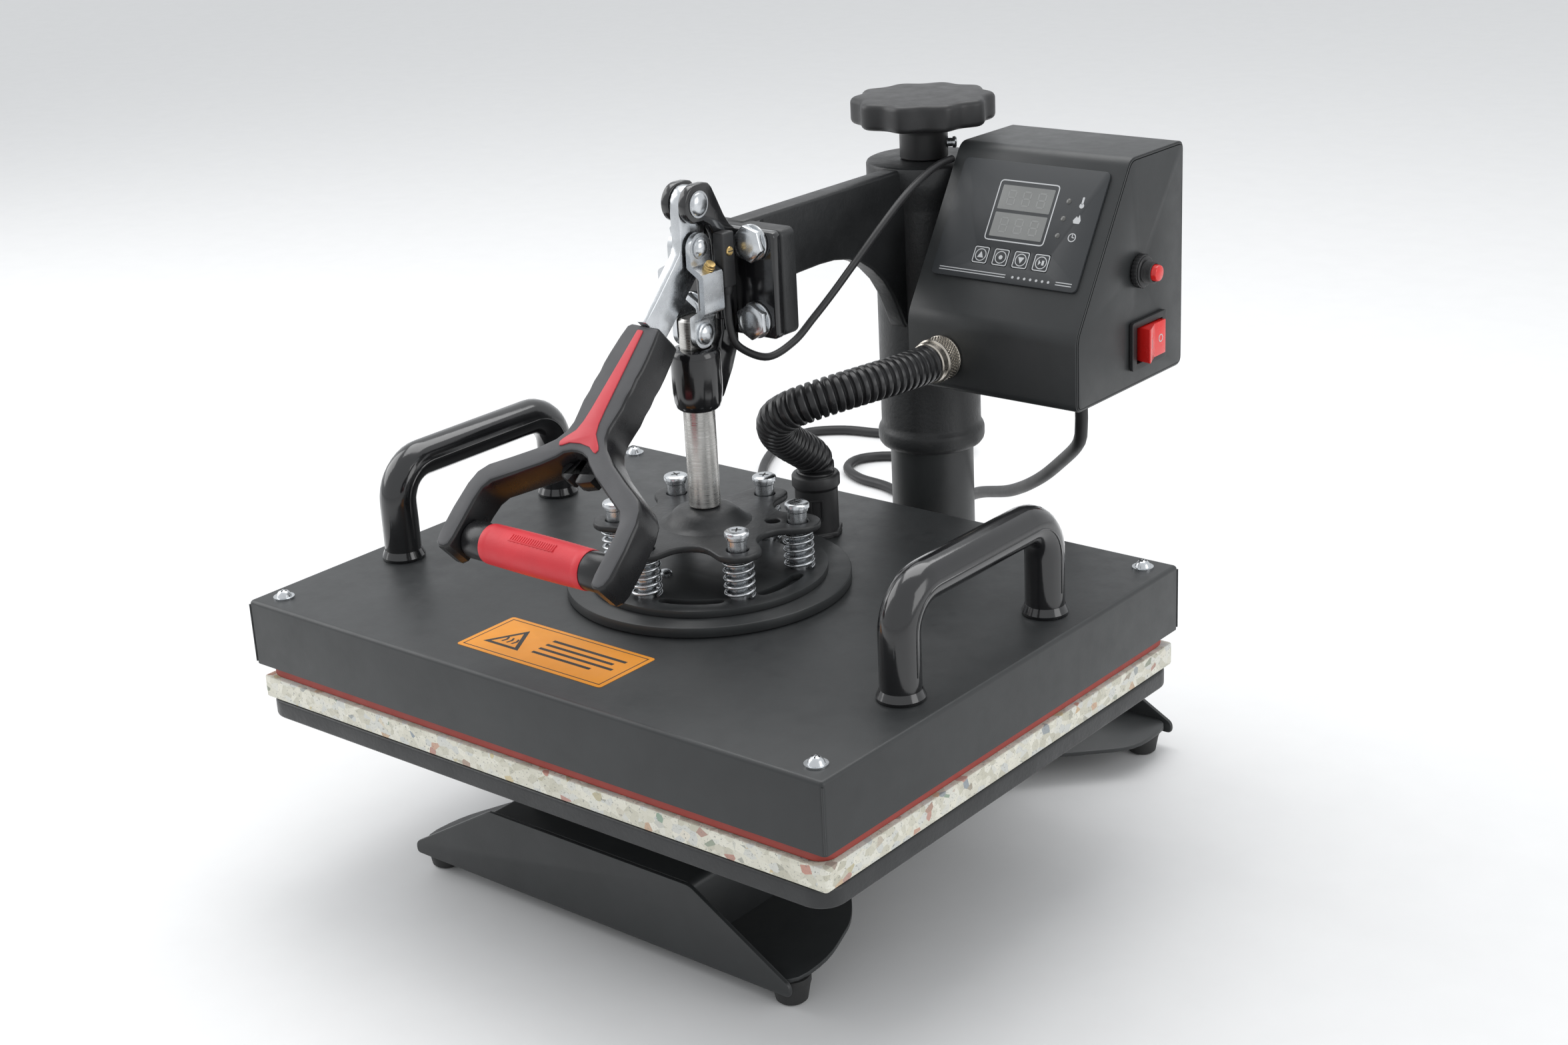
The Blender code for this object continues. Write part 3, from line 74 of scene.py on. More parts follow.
PLATEN = middle("plunger_rod").to_2d()
POST = middle("post").to_2d()
print("platen centre", tuple(PLATEN), "post axis", tuple(POST))

# %% [markdown]
# The camera comes before the pieces, because the frame measures how much of the mains cord is in
# its view. It stands at the front right, a little above the machine, rolled by three degrees.

# %% Camera
TARGET = Vector((-0.0240, 0.0421, 0.1596))
CAMERA_AZIMUTH = math.radians(40.06)
CAMERA_ELEVATION = math.radians(20.35)
CAMERA_ROLL = math.radians(-2.96)
CAMERA_DISTANCE = 1.3014
LENS = 53.57
SENSOR_WIDTH = 36
FLOOR_HALF = 6  # metres

camera_data = bpy.data.cameras.new("camera")
camera_data.lens = LENS
camera_data.sensor_width = SENSOR_WIDTH
camera = bpy.data.objects.new("camera", camera_data)
bpy.context.scene.collection.objects.link(camera)
back = Vector((math.sin(CAMERA_AZIMUTH) * math.cos(CAMERA_ELEVATION),
               -math.cos(CAMERA_AZIMUTH) * math.cos(CAMERA_ELEVATION),
               math.sin(CAMERA_ELEVATION)))
right = Vector((0, 0, 1)).cross(back).normalized()
upright = Matrix((right, back.cross(right), back)).transposed().to_4x4()
camera.matrix_world = (Matrix.Translation(TARGET + back * CAMERA_DISTANCE) @ upright
                       @ Matrix.Rotation(CAMERA_ROLL, 4, "Z"))
bpy.context.scene.camera = camera

# %% [markdown]
# The light is that of a plain product table: a pale floor and a bright, even surround. Black
# paint shows its form only by what it mirrors, so the panels are large and to the side of the
# machine: a long one overhead, one at the left and a weaker one at the right.

# %% Floor, surround and soft lights
world = bpy.data.worlds.new("surround")
bpy.context.scene.world = world
world.use_nodes = True
world.node_tree.nodes["Background"].inputs["Color"].default_value = (0.96, 0.98, 1, 1)
world.node_tree.nodes["Background"].inputs["Strength"].default_value = 0.82
bpy.context.scene.view_settings.view_transform = "Standard"

floor_shape = bmesh.new()
bmesh.ops.create_grid(floor_shape, x_segments=1, y_segments=1, size=FLOOR_HALF)
floor_data = bpy.data.meshes.new("floor")
floor_shape.to_mesh(floor_data)
floor_shape.free()
floor = bpy.data.objects.new("floor", floor_data)
bpy.context.scene.collection.objects.link(floor)


def soft_light(name, size, power, place, aim):
    lamp = bpy.data.lights.new(name, "AREA")
    lamp.shape = "RECTANGLE"
    lamp.size, lamp.size_y = size
    lamp.energy = power
    holder = bpy.data.objects.new(name, lamp)
    bpy.context.scene.collection.objects.link(holder)
    holder.location = place
    holder.rotation_euler = (Vector(aim) - Vector(place)).to_track_quat("-Z", "Y").to_euler()


soft_light("overhead", (1.6, 1.2), 16, (-0.3, 0.5, 1.7), (0, 0, 0.1))
soft_light("left_panel", (1.4, 1.4), 13, (-1.6, -0.5, 1.1), (0, 0, 0.15))
soft_light("right_panel", (1.0, 1.2), 7, (1.9, 0.3, 0.9), (0, 0, 0.2))

# %% [markdown]
# ## Finishes
#
# A finish is a small node graph. They share one recipe: noise on Object coordinates moves the
# colour a little, moves the roughness a little, and lifts the surface as a fine bump. The scale
# and strength of the three make powder coat, cast paint, moulded plastic or plated steel.


# %% A tool for node graphs
class Graph:
    """A material's nodes, with the shader's sockets reached by name."""

    def __init__(self, name):
        self.material = bpy.data.materials.new(name)
        self.material.use_nodes = True
        self.tree = self.material.node_tree
        self.shader = self.tree.nodes["Principled BSDF"]

    def node(self, kind, **settings):
        made = self.tree.nodes.new("ShaderNode" + kind)
        for key, value in settings.items():
            setattr(made, key, value)
        return made

    def link(self, source, target):
        self.tree.links.new(source, target)

    def socket(self, name, value):
        self.shader.inputs[name].default_value = value

    def place(self, scale=(1, 1, 1)):
        """Object coordinates in metres, stretched by a scale on each axis."""
        coordinates = self.node("TexCoord")
        mapping = self.node("Mapping")
        mapping.inputs["Scale"].default_value = scale
        self.link(coordinates.outputs["Object"], mapping.inputs["Vector"])
        return mapping.outputs["Vector"]

    def noise(self, size, where=None, detail=3.0, roughness=0.55):
        """Noise with features of about that size in metres."""
        made = self.node("TexNoise")
        made.inputs["Scale"].default_value = 1 / size
        made.inputs["Detail"].default_value = detail
        made.inputs["Roughness"].default_value = roughness
        self.link(where or self.place(), made.inputs["Vector"])
        return made.outputs["Fac"]

    def ramp(self, factor, *stops):
        """Colours at positions, as (position, colour)."""
        made = self.node("ValToRGB")
        band = made.color_ramp
        while len(band.elements) < len(stops):
            band.elements.new(0.5)
        for element, (position, colour) in zip(band.elements, stops):
            element.position = position
            element.color = (*colour, 1)
        self.link(factor, made.inputs["Fac"])
        return made.outputs["Color"]

    def span(self, factor, low, high, start=0.3, end=0.7):
        """A number that goes from low to high as the factor goes from start to end."""
        made = self.node("MapRange")
        for key, value in (("From Min", start), ("From Max", end),
                           ("To Min", low), ("To Max", high)):
            made.inputs[key].default_value = value
        self.link(factor, made.inputs["Value"])
        return made.outputs["Result"]

    def mix(self, factor, first, second):
        """A blend of two colours, each a socket or a plain colour."""
        made = self.node("Mix", data_type="RGBA")
        self.link(factor, made.inputs["Factor"])
        for name, value in (("A", first), ("B", second)):
            target = next(s for s in made.inputs if s.name == name and s.type == "RGBA")
            if isinstance(value, tuple):
                target.default_value = (*value, 1)
            else:
                self.link(value, target)
        return next(s for s in made.outputs if s.type == "RGBA")

    def bump(self, height, depth, strength=1.0, after=None):
        made = self.node("Bump")
        made.inputs["Distance"].default_value = depth
        made.inputs["Strength"].default_value = strength
        self.link(height, made.inputs["Height"])
        if after is not None:
            self.link(after, made.inputs["Normal"])
        return made.outputs["Normal"]

    def colour(self, socket):
        self.link(socket, self.shader.inputs["Base Color"])

    def rough(self, socket):
        self.link(socket, self.shader.inputs["Roughness"])

    def normal(self, socket):
        self.link(socket, self.shader.inputs["Normal"])


def shade(colour, factor):
    return tuple(min(1.0, channel * factor) for channel in colour)


def coating(name, colour, rough=(0.35, 0.5), grain=0.0006, depth=0.00004, metallic=0.0,
            patch=0.03, drift=0.12, coat=0.0, specular=0.5):
    """Paint, plastic or plate: colour patches, uneven gloss and a fine grain."""
    made = Graph(name)
    made.socket("Metallic", metallic)
    made.socket("Coat Weight", coat)
    made.socket("Coat Roughness", 0.12)
    made.socket("Specular IOR Level", specular)
    broad = made.noise(patch, detail=4)
    made.colour(made.ramp(broad, (0.3, shade(colour, 1 - drift)), (0.7, shade(colour, 1 + drift))))
    smudge = made.noise(patch * 0.4, detail=5, roughness=0.65)
    made.rough(made.span(smudge, *rough))
    made.normal(made.bump(made.noise(grain, detail=2), depth))
    return made.material


# %% [markdown]
# The sheet steel wears a satin powder coat with a fine orange peel, the castings a thicker and
# rougher one, and the side handles and bracket a glossy enamel. Zinc is bright and slightly
# uneven, and the rod is ground, so its scratches run round it in fine rings.

# %% Paints and plated steel
POWDER = coating("powder_coat", (0.026, 0.028, 0.029), (0.36, 0.46), 0.0007, 0.00003)
CAST_PAINT = coating("cast_paint", (0.020, 0.021, 0.022), (0.34, 0.5), 0.0022, 0.00016,
                     drift=0.2)
ENAMEL = coating("gloss_enamel", (0.008, 0.008, 0.009), (0.1, 0.2), 0.004, 0.00006, coat=0.6)
SATIN = coating("satin_plastic", (0.019, 0.019, 0.020), (0.36, 0.52), 0.0005, 0.00005)
HOSE = coating("hose_plastic", (0.014, 0.014, 0.015), (0.26, 0.38), 0.002, 0.00003)
SOFT_BLACK = coating("soft_rubber", (0.022, 0.022, 0.022), (0.55, 0.72), 0.0006, 0.00006)
CORD_RUBBER = coating("cord_rubber", (0.016, 0.016, 0.017), (0.38, 0.5), 0.0009, 0.00004)
ZINC = coating("zinc_plate", (0.62, 0.64, 0.66), (0.2, 0.32), 0.0016, 0.000006, 1.0, 0.01, 0.06)
NICKEL = coating("nickel_plate", (0.56, 0.52, 0.46), (0.2, 0.34), 0.0016, 0.000006, 1.0, 0.008)
BRASS = coating("brass", (0.68, 0.48, 0.20), (0.24, 0.36), 0.0016, 0.000006, 1.0, 0.006)
ALUMINIUM = coating("cast_aluminium", (0.60, 0.60, 0.61), (0.34, 0.5), 0.001, 0.00005, 1.0)
GRIP_RED = coating("grip_red", (0.60, 0.022, 0.034), (0.40, 0.55), 0.0007, 0.00006, drift=0.08)
INLAY_RED = coating("inlay_red", (0.56, 0.045, 0.06), (0.42, 0.56), 0.0006, 0.00004, drift=0.08)
SWITCH_RED = coating("switch_red", (0.72, 0.018, 0.016), (0.2, 0.3), 0.001, 0.00002, coat=0.3)
BOARD = coating("circuit_board", (0.02, 0.16, 0.06), (0.3, 0.45), 0.0012, 0.00003)


def ground_steel():
    """Turned and ground bar: fine rings round Z in the gloss and the bump."""
    made = Graph("ground_steel")
    made.socket("Metallic", 1.0)
    made.socket("Anisotropic", 0.4)
    rings = made.noise(0.0012, made.place((0.05, 0.05, 3)), detail=4)
    broad = made.noise(0.02)
    made.colour(made.ramp(broad, (0.3, (0.46, 0.45, 0.43)), (0.7, (0.60, 0.59, 0.57))))
    made.rough(made.span(rings, 0.2, 0.38))
    made.normal(made.bump(rings, 0.000003))
    return made.material


STEEL = ground_steel()

# %% [markdown]
# The pad is rebonded foam: crumbs of several pale colours pressed together, with darker gaps
# and here and there a blue, a yellow or a red crumb. Two Voronoi patterns give it: one colours
# the crumbs, and the other scatters the odd dark fleck. The heat-proof sheet on it is silicone.


# %% Foam and silicone
def crumb_foam():
    made = Graph("crumb_foam")
    made.socket("Sheen Weight", 0.3)
    where = made.place((1, 1, 1.3))
    crumbs = made.node("TexVoronoi", feature="F1")
    crumbs.inputs["Scale"].default_value = 210
    made.link(where, crumbs.inputs["Vector"])
    split = made.node("SeparateColor")
    made.link(crumbs.outputs["Color"], split.inputs["Color"])
    pale = made.ramp(split.outputs["Red"], (0.0, (0.56, 0.54, 0.44)), (0.35, (0.70, 0.68, 0.58)),
                     (0.7, (0.80, 0.78, 0.68)), (1.0, (0.62, 0.63, 0.60)))
    tint = made.ramp(split.outputs["Green"], (0.0, (0.20, 0.26, 0.34)), (0.35, (0.62, 0.52, 0.26)),
                     (0.65, (0.50, 0.18, 0.14)), (1.0, (0.16, 0.30, 0.22)))
    odd = made.span(split.outputs["Blue"], 0, 0.8, 0.9, 0.92)
    flecks = made.noise(0.0016, where, detail=4, roughness=0.7)
    body = made.mix(odd, pale, tint)
    made.colour(made.mix(made.span(flecks, 0.85, 0, 0.34, 0.42), body, (0.22, 0.22, 0.20)))
    made.socket("Roughness", 0.92)
    gaps = made.bump(crumbs.outputs["Distance"], 0.0006, 0.6)
    made.normal(made.bump(flecks, 0.0007, 0.7, gaps))
    return made.material


FOAM = crumb_foam()
SILICONE = coating("silicone_sheet", (0.30, 0.040, 0.028), (0.5, 0.66), 0.0008, 0.00008, drift=0.1)
FLOOR = coating("pale_floor", (0.80, 0.80, 0.80), (0.5, 0.6), 0.05, 0.0, drift=0.01)
floor.data.materials.append(FLOOR)

# %% [markdown]
# ## Small tools
#
# A piece starts as a bmesh, is shaped by operators, and ends as one object whose place is in its
# mesh. The tool below closes seams, turns the faces out, marks the edges that stay crisp, parents
# the piece to an empty for the body it rides on, and hides the solids it stands for.


# %% Finish a piece
def make_piece(name, shape, material, body, slot, *nodes, crisp=35, closed=True):
    """One finished object from a bmesh; material may be a list, used by face index."""
    bmesh.ops.remove_doubles(shape, verts=shape.verts, dist=2e-6)
    if closed:
        bmesh.ops.recalc_face_normals(shape, faces=shape.faces)
    for face in shape.faces:
        face.smooth = True
    for edge in shape.edges:
        edge.smooth = edge.calc_face_angle(0) < math.radians(crisp)
    data = bpy.data.meshes.new(name)
    shape.to_mesh(data)
    shape.free()
    for one in material if isinstance(material, list) else [material]:
        data.materials.append(one)
    piece = bpy.data.objects.new(name, data)
    bpy.context.scene.collection.objects.link(piece)
    if body is not None:  # a piece without a body is left unparented
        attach(piece, body)
    if nodes:
        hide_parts(*nodes)
    print(f"{name}: {len(data.polygons)} faces on {body}")
    return piece


# %% [markdown]
# Shapes come from four makers. A block is a scaled cube, a slab is an outline that is filled and
# extruded, a turning is a profile that is spun, and a pipe follows a route. Each works in its own
# small frame and adds its geometry to a bmesh, so that several make one piece.


# %% Blocks, slabs and turnings
def shift(x, y, z):
    return Matrix.Translation((x, y, z))


def facing(direction, place=(0, 0, 0), up=(0, 0, 1)):
    """A frame at a place, whose Z axis is the direction and whose Y axis is nearly up."""
    out = Vector(direction).normalized()
    side = Vector(up).cross(out)
    side = Vector((1, 0, 0)) if side.length < 1e-6 else side.normalized()
    return shift(*place) @ Matrix((side, out.cross(side), out)).transposed().to_4x4()


def round_edges(shape, width, segments=2, angle=30):
    """Bevels every edge that turns by more than the angle."""
    edges = [edge for edge in shape.edges if edge.calc_face_angle(0) > math.radians(angle)]
    bmesh.ops.bevel(shape, geom=edges, offset=width, segments=segments, profile=0.5,
                    affect="EDGES", clamp_overlap=True, material=-1)


def block(shape, low, high, rounding=0.0, matrix=Matrix(), tint=0, segments=2):
    low, high = Vector(low), Vector(high)
    local = bmesh.new()
    bmesh.ops.create_cube(local, size=1)
    bmesh.ops.scale(local, vec=high - low, verts=local.verts)
    bmesh.ops.translate(local, vec=(low + high) / 2, verts=local.verts)
    if rounding:
        round_edges(local, rounding, segments)
    absorb(shape, local, matrix, tint)


def absorb(shape, local, matrix=Matrix(), tint=0):
    """Adds a finished small bmesh to the piece, in place and with its material index."""
    bmesh.ops.recalc_face_normals(local, faces=local.faces)
    data = bpy.data.meshes.new("small_shape")
    local.to_mesh(data)
    local.free()
    before = len(shape.verts)
    shape.from_mesh(data)
    bpy.data.meshes.remove(data)
    shape.verts.ensure_lookup_table()
    made = shape.verts[before:]
    bmesh.ops.transform(shape, matrix=matrix, verts=made)
    for face in {face for vert in made for face in vert.link_faces}:
        face.material_index = tint


def slab(shape, outlines, thickness, matrix=Matrix(), rounding=0.0, tint=0, segments=2,
         angle=30):
    """Fills an outline with its holes, and extrudes it by half the thickness each way."""
    local = bmesh.new()
    edges = []
    for outline in outlines:
        verts = [local.verts.new((x, y, -thickness / 2)) for x, y in outline]
        edges += [local.edges.new(pair) for pair in zip(verts, verts[1:] + verts[:1])]
    if len(outlines) == 1:
        bmesh.ops.contextual_create(local, geom=edges)
    else:
        bmesh.ops.triangle_fill(local, use_beauty=True, edges=edges)
    raised = bmesh.ops.extrude_face_region(local, geom=list(local.faces))["geom"]
    raised = [part for part in raised if isinstance(part, bmesh.types.BMVert)]
    bmesh.ops.translate(local, vec=(0, 0, thickness), verts=raised)
    bmesh.ops.recalc_face_normals(local, faces=local.faces)
    if rounding:
        round_edges(local, rounding, segments, angle)
    absorb(shape, local, matrix, tint)


def turning(shape, profile, matrix=Matrix(), steps=32, tint=0, close=False):
    """Spins (radius, height) points round Z."""
    local = bmesh.new()
    verts = [local.verts.new((radius, 0, height)) for radius, height in profile]
    edges = [local.edges.new(pair) for pair in zip(verts, verts[1:])]
    if close:
        edges.append(local.edges.new((verts[-1], verts[0])))
    bmesh.ops.spin(local, geom=verts + edges, cent=(0, 0, 0), axis=(0, 0, 1),
                   angle=2 * math.pi, steps=steps, use_merge=True)
    bmesh.ops.remove_doubles(local, verts=local.verts, dist=1e-7)
    absorb(shape, local, matrix, tint)


def polar(radius, angle):
    """A point at that radius, with its angle in degrees."""
    return radius * math.cos(math.radians(angle)), radius * math.sin(math.radians(angle))


def arc(centre, radius, start, end, count=8):
    """Points on an arc, with its angles in degrees."""
    angles = [math.radians(start + (end - start) * i / count) for i in range(count + 1)]
    return [(centre[0] + radius * math.cos(a), centre[1] + radius * math.sin(a)) for a in angles]


def circle(centre, radius, count=24):
    return arc(centre, radius, 0, 360 - 360 / count, count - 1)


def both_sides(outline):
    """An outline's right half with its mirror image."""
    return outline + [(-x, y) for x, y in reversed(outline) if x > 0]


def soften(outline, radius, count=4):
    """Rounds the corners of a closed outline, as a file does on a sheet's corners."""
    points = [Vector(point) for point in outline]
    result = []
    for before, corner, after in zip(points[-1:] + points, points, points[1:] + points[:1]):
        back, on = before - corner, after - corner
        reach = min(radius, back.length * 0.45, on.length * 0.45)
        start, end = corner + back.normalized() * reach, corner + on.normalized() * reach
        for i in range(count + 1):
            t = i / count
            result.append(tuple(start * (1 - t) ** 2 + corner * 2 * t * (1 - t) + end * t * t))
    return result


# %% Smooth routes and pipes
def smooth_route(points, spacing):
    """Evenly spaced points on a Catmull-Rom curve through the route's own points."""
    knots = [Vector(point) for point in points]
    knots = [2 * knots[0] - knots[1]] + knots + [2 * knots[-1] - knots[-2]]
    fine = []
    for a, b, c, d in zip(knots, knots[1:], knots[2:], knots[3:]):
        for step in range(20):
            t = step / 20
            fine.append(0.5 * (2 * b + (c - a) * t + (2 * a - 5 * b + 4 * c - d) * t ** 2
                               + (3 * b - a - 3 * c + d) * t ** 3))
    fine.append(knots[-2])
    length = sum((q - p).length for p, q in zip(fine, fine[1:]))
    count = max(2, round(length / spacing))
    route, travelled, wanted = [fine[0]], 0.0, 1
    for p, q in zip(fine, fine[1:]):
        step = (q - p).length
        while wanted < count and travelled + step >= wanted * length / count:
            route.append(p.lerp(q, (wanted * length / count - travelled) / step))
            wanted += 1
        travelled += step
    return route + [fine[-1]]


def pipe(shape, points, radius, sides=4, radii=None, matrix=Matrix(), tint=0):
    """A curve with a round section along the points, with its caps welded on."""
    curve = bpy.data.curves.new("pipe", "CURVE")
    curve.dimensions = "3D"
    curve.bevel_depth = radius
    curve.bevel_resolution = sides
    curve.use_fill_caps = True
    spline = curve.splines.new("POLY")
    spline.points.add(len(points) - 1)
    for i, (target, point) in enumerate(zip(spline.points, points)):
        target.co = (*point, 1)
        target.radius = radii[i] if radii else 1.0
    guide = bpy.data.objects.new("pipe", curve)
    bpy.context.scene.collection.objects.link(guide)
    bpy.context.view_layer.update()
    graph = bpy.context.evaluated_depsgraph_get()
    data = bpy.data.meshes.new_from_object(guide.evaluated_get(graph))
    bpy.data.objects.remove(guide, do_unlink=True)
    bpy.data.curves.remove(curve)
    local = bmesh.new()
    local.from_mesh(data)
    bpy.data.meshes.remove(data)
    bmesh.ops.remove_doubles(local, verts=local.verts, dist=1e-7)
    absorb(shape, local, matrix, tint)


# %% Cut one shape out of another
def carve(shape, cutter, operation="DIFFERENCE"):
    """Returns a new bmesh: the shape less the cutter, or what both share. Both are closed."""
    helpers = []
    for name, local in (("carved", shape), ("carver", cutter)):
        bmesh.ops.recalc_face_normals(local, faces=local.faces)
        data = bpy.data.meshes.new(name)
        local.to_mesh(data)
        local.free()
        helper = bpy.data.objects.new(name, data)
        bpy.context.scene.collection.objects.link(helper)
        helpers.append(helper)
    step = helpers[0].modifiers.new("carve", "BOOLEAN")
    step.operation, step.solver, step.object = operation, "EXACT", helpers[1]
    bpy.context.view_layer.update()
    graph = bpy.context.evaluated_depsgraph_get()
    data = bpy.data.meshes.new_from_object(helpers[0].evaluated_get(graph))
    for helper in helpers:
        old = helper.data
        bpy.data.objects.remove(helper, do_unlink=True)
        bpy.data.meshes.remove(old)
    result = bmesh.new()
    result.from_mesh(data)
    bpy.data.meshes.remove(data)
    bmesh.ops.dissolve_degenerate(result, dist=1e-6, edges=result.edges)
    return result

# %% [markdown]
# ## The base
#
# The real base is one folded sheet: a shallow channel turned upside down, with a pair of wings
# at each end that carry the feet. The channel is made as its own section, drawn out along the
# machine. The wings are a cut plate round it, and a sloping web closes each end. Corners are
# rounded as a press brake and a laser would leave them.

# %% Folded base


def mm(points):
    return [tuple(value * MM for value in point) for point in points]


def over_platen(z=0, x=0, y=0):
    """A place in millimetres from the platen's upright line."""
    return shift(x * MM, PLATEN.y + y * MM, z * MM)


def over_post(z=0):
    return shift(0, POST.y, z * MM)


ACROSS = facing((1, 0, 0), (0, PLATEN.y, 0))  # drawn as seen from the right side


def section(half, low, top, wall, bend=4):
    """An upturned channel's section, with bent corners, in millimetres."""
    inner = bend - wall
    return mm([(half - wall, low), (half, low)] + arc((half - bend, top - bend), bend, 0, 90, 5)
              + arc((bend - half, top - bend), bend, 90, 180, 5)
              + [(-half, low), (wall - half, low)]
              + arc((bend - half, top - bend), inner, 180, 90, 5)
              + arc((half - bend, top - bend), inner, 90, 0, 5))


FRONT_Y, REAR_Y = -155, 196.5
base = bmesh.new()
middle_y = (FRONT_Y + REAR_Y) / 2 * MM
slab(base, [section(70, 14.6, 52, 2.5)], (REAR_Y - FRONT_Y) * MM - 2 * MM,
     facing((0, -1, 0), (0, middle_y, 0)), 0.3 * MM)
wing = both_sides([
    (130.5, FRONT_Y), (130.8, FRONT_Y + 30), (118.8, FRONT_Y + 63), (110.8, FRONT_Y + 75),
    (78, FRONT_Y + 114), (78, REAR_Y - 96), (134.5, REAR_Y - 40), (134.5, REAR_Y)])
hole = [(67, FRONT_Y + 2), (67, REAR_Y - 2), (-67, REAR_Y - 2), (-67, FRONT_Y + 2)]
slab(base, [mm(soften(wing, 14)), mm(hole)], 2.5 * MM, shift(0, 0, 15.6 * MM), 0.5 * MM)
for y, half in ((FRONT_Y, 131), (REAR_Y, 134.8)):
    web = both_sides([(half, 9.6), (half, 16), (70, 51.8), (62, 51.8)])
    slab(base, [mm(soften(web, 3))], 2.6 * MM, facing((0, -1, 0), (0, y * MM, 0)), 0.7 * MM)
    for side in (-1, 1):
        pipe(base, mm([(side * 69, y, 51), (side * (half - 3), y, 16.6)]), 0.9 * MM, 2)
make_piece("folded_base", base, POWDER, "base", "powder_black", "base_frame")

foot = [(0, 3), (2.6, 3), (2.6, 0), (6.6, 0), (8, 1.2), (9.4, 9), (10, 11), (10, 13.4),
        (9.4, 14), (0, 14)]
for end, y in (("front", -143.5), ("rear", 184.5)):
    for side, x in (("left", -121.7), ("right", 121.7)):
        shape = bmesh.new()
        turning(shape, mm(foot), shift(x * MM, y * MM, 0), 32)
        make_piece(f"rubber_foot_{end}_{side}", shape, SOFT_BLACK, "base", "rubber_black",
                   f"foot_{end}_{side}")

# %% [markdown]
# The lower platen stands on a box of the same sheet. It is a thick plate with rounded corners
# and a broken edge. The foam pad is cut square, and the silicone sheet on it has small corner
# radii and a soft edge, so the two read as different materials.

# %% Lower platen, foam and silicone
support = bmesh.new()
slab(support, [section(55, 52.4, 93.6, 2.5, 3.5)], 176 * MM,
     facing((0, -1, 0), (0, PLATEN.y, 0)), 0.3 * MM)
for side in (-1, 1):
    plate = [(-54.6, 52.4), (54.6, 52.4), (54.6, 91.4), (52.5, 93.4), (-52.5, 93.4),
             (-54.6, 91.4)]
    slab(support, [mm(plate)], 2.5 * MM,
         facing((0, side, 0), (0, PLATEN.y + side * 88.6 * MM, 0)), 0.6 * MM)
    for x in (-54.4, 54.4):
        pipe(support, mm([(x, PLATEN.y / MM + side * 88.4, 53),
                          (x, PLATEN.y / MM + side * 88.4, 92)]), 1.1 * MM, 2)
make_piece("support_box", support, POWDER, "base", "powder_black", "platen_support")


def rounded(half_x, half_y, radius, count=8):
    outline = []
    for x, y, start in ((half_x, half_y, 0), (-half_x, half_y, 90), (-half_x, -half_y, 180),
                        (half_x, -half_y, 270)):
        centre = (x - math.copysign(radius, x), y - math.copysign(radius, y))
        outline += arc(centre, radius, start, start + 90, count)
    return outline


shape = bmesh.new()
slab(shape, [mm(rounded(191, 148.5, 13))], 10 * MM, over_platen(99), 1.6 * MM,
     segments=3)
make_piece("lower_plate", shape, CAST_PAINT, "base", "powder_black", "lower_platen")
shape = bmesh.new()
slab(shape, [mm(rounded(190.5, 148, 1.6, 3))], 12 * MM, over_platen(110.3), 0.8 * MM)
make_piece("crumb_foam_pad", shape, FOAM, "base", "foam_speckled", "foam_pad")
shape = bmesh.new()
slab(shape, [mm(rounded(188.5, 146, 9, 6))], 6.7 * MM, over_platen(119.95), 1.5 * MM,
     segments=3)
make_piece("silicone_sheet_pad", shape, SILICONE, "base", "silicone_red", "silicone_pad")

# %% [markdown]
# The post is a thick tube with a bored cap, welded to a round flange. The weld is drawn as one
# smooth fillet. The washer on the cap is turned, with broken edges.

# %% Post and washer
shape = bmesh.new()
turning(shape, mm([(6.4, 320), (23, 320), (24, 319), (24, 62), (25.6, 60.4), (27.6, 58.2),
                   (28.8, 57.3), (35.2, 57.3), (36, 56.5), (36, 53), (35.4, 52.3), (20.5, 52.3),
                   (20.5, 314), (6.4, 314)]), over_post(), 64, close=True)
make_piece("post_tube", shape, POWDER, "base", "powder_black", "post")
shape = bmesh.new()
turning(shape, mm([(6.4, 320.3), (19.3, 320.3), (20, 321), (20, 322.6), (19.3, 323.3),
                   (6.4, 323.3)]), over_post(), 48, close=True)
make_piece("washer", shape, STEEL, "swing_bearing", "steel", "thrust_washer")

# %% [markdown]
# ## The heating platen
#
# The cover is a drawn and folded sheet box over the heating plate. Its top is nearly flat, its
# edges are bent to a small radius, and a seam shows where the walls meet at each corner. Four
# pan-head screws with washers hold it down.

# %% Cover, heating plate and screws
COVER = 159.8
shell = bmesh.new()
slab(shell, [mm(rounded(192.5, 150, 2.2, 4))], 36 * MM, over_platen(COVER - 18))
under = [face for face in shell.faces if face.normal.z < -0.9]
bmesh.ops.delete(shell, geom=under, context="FACES")
rim = [edge for edge in shell.edges if not edge.is_boundary
       and all(vert.co.z > (COVER - 0.5) * MM for vert in edge.verts)]
bmesh.ops.bevel(shell, geom=rim, offset=2.2 * MM, segments=4, profile=0.5, affect="EDGES",
                clamp_overlap=True, material=-1)
bmesh.ops.recalc_face_normals(shell, faces=shell.faces)
if max(shell.faces, key=lambda face: face.calc_area()).normal.z < 0:
    bmesh.ops.reverse_faces(shell, faces=shell.faces)
bmesh.ops.solidify(shell, geom=list(shell.faces), thickness=1.5 * MM)
for x in (-1, 1):
    for y in (-1, 1):
        corner = Vector((x * 192.1, PLATEN.y / MM + y * 149.6))
        pipe(shell, mm([(*corner, 125), (*corner, COVER - 2.4)]), 0.55 * MM, 2)
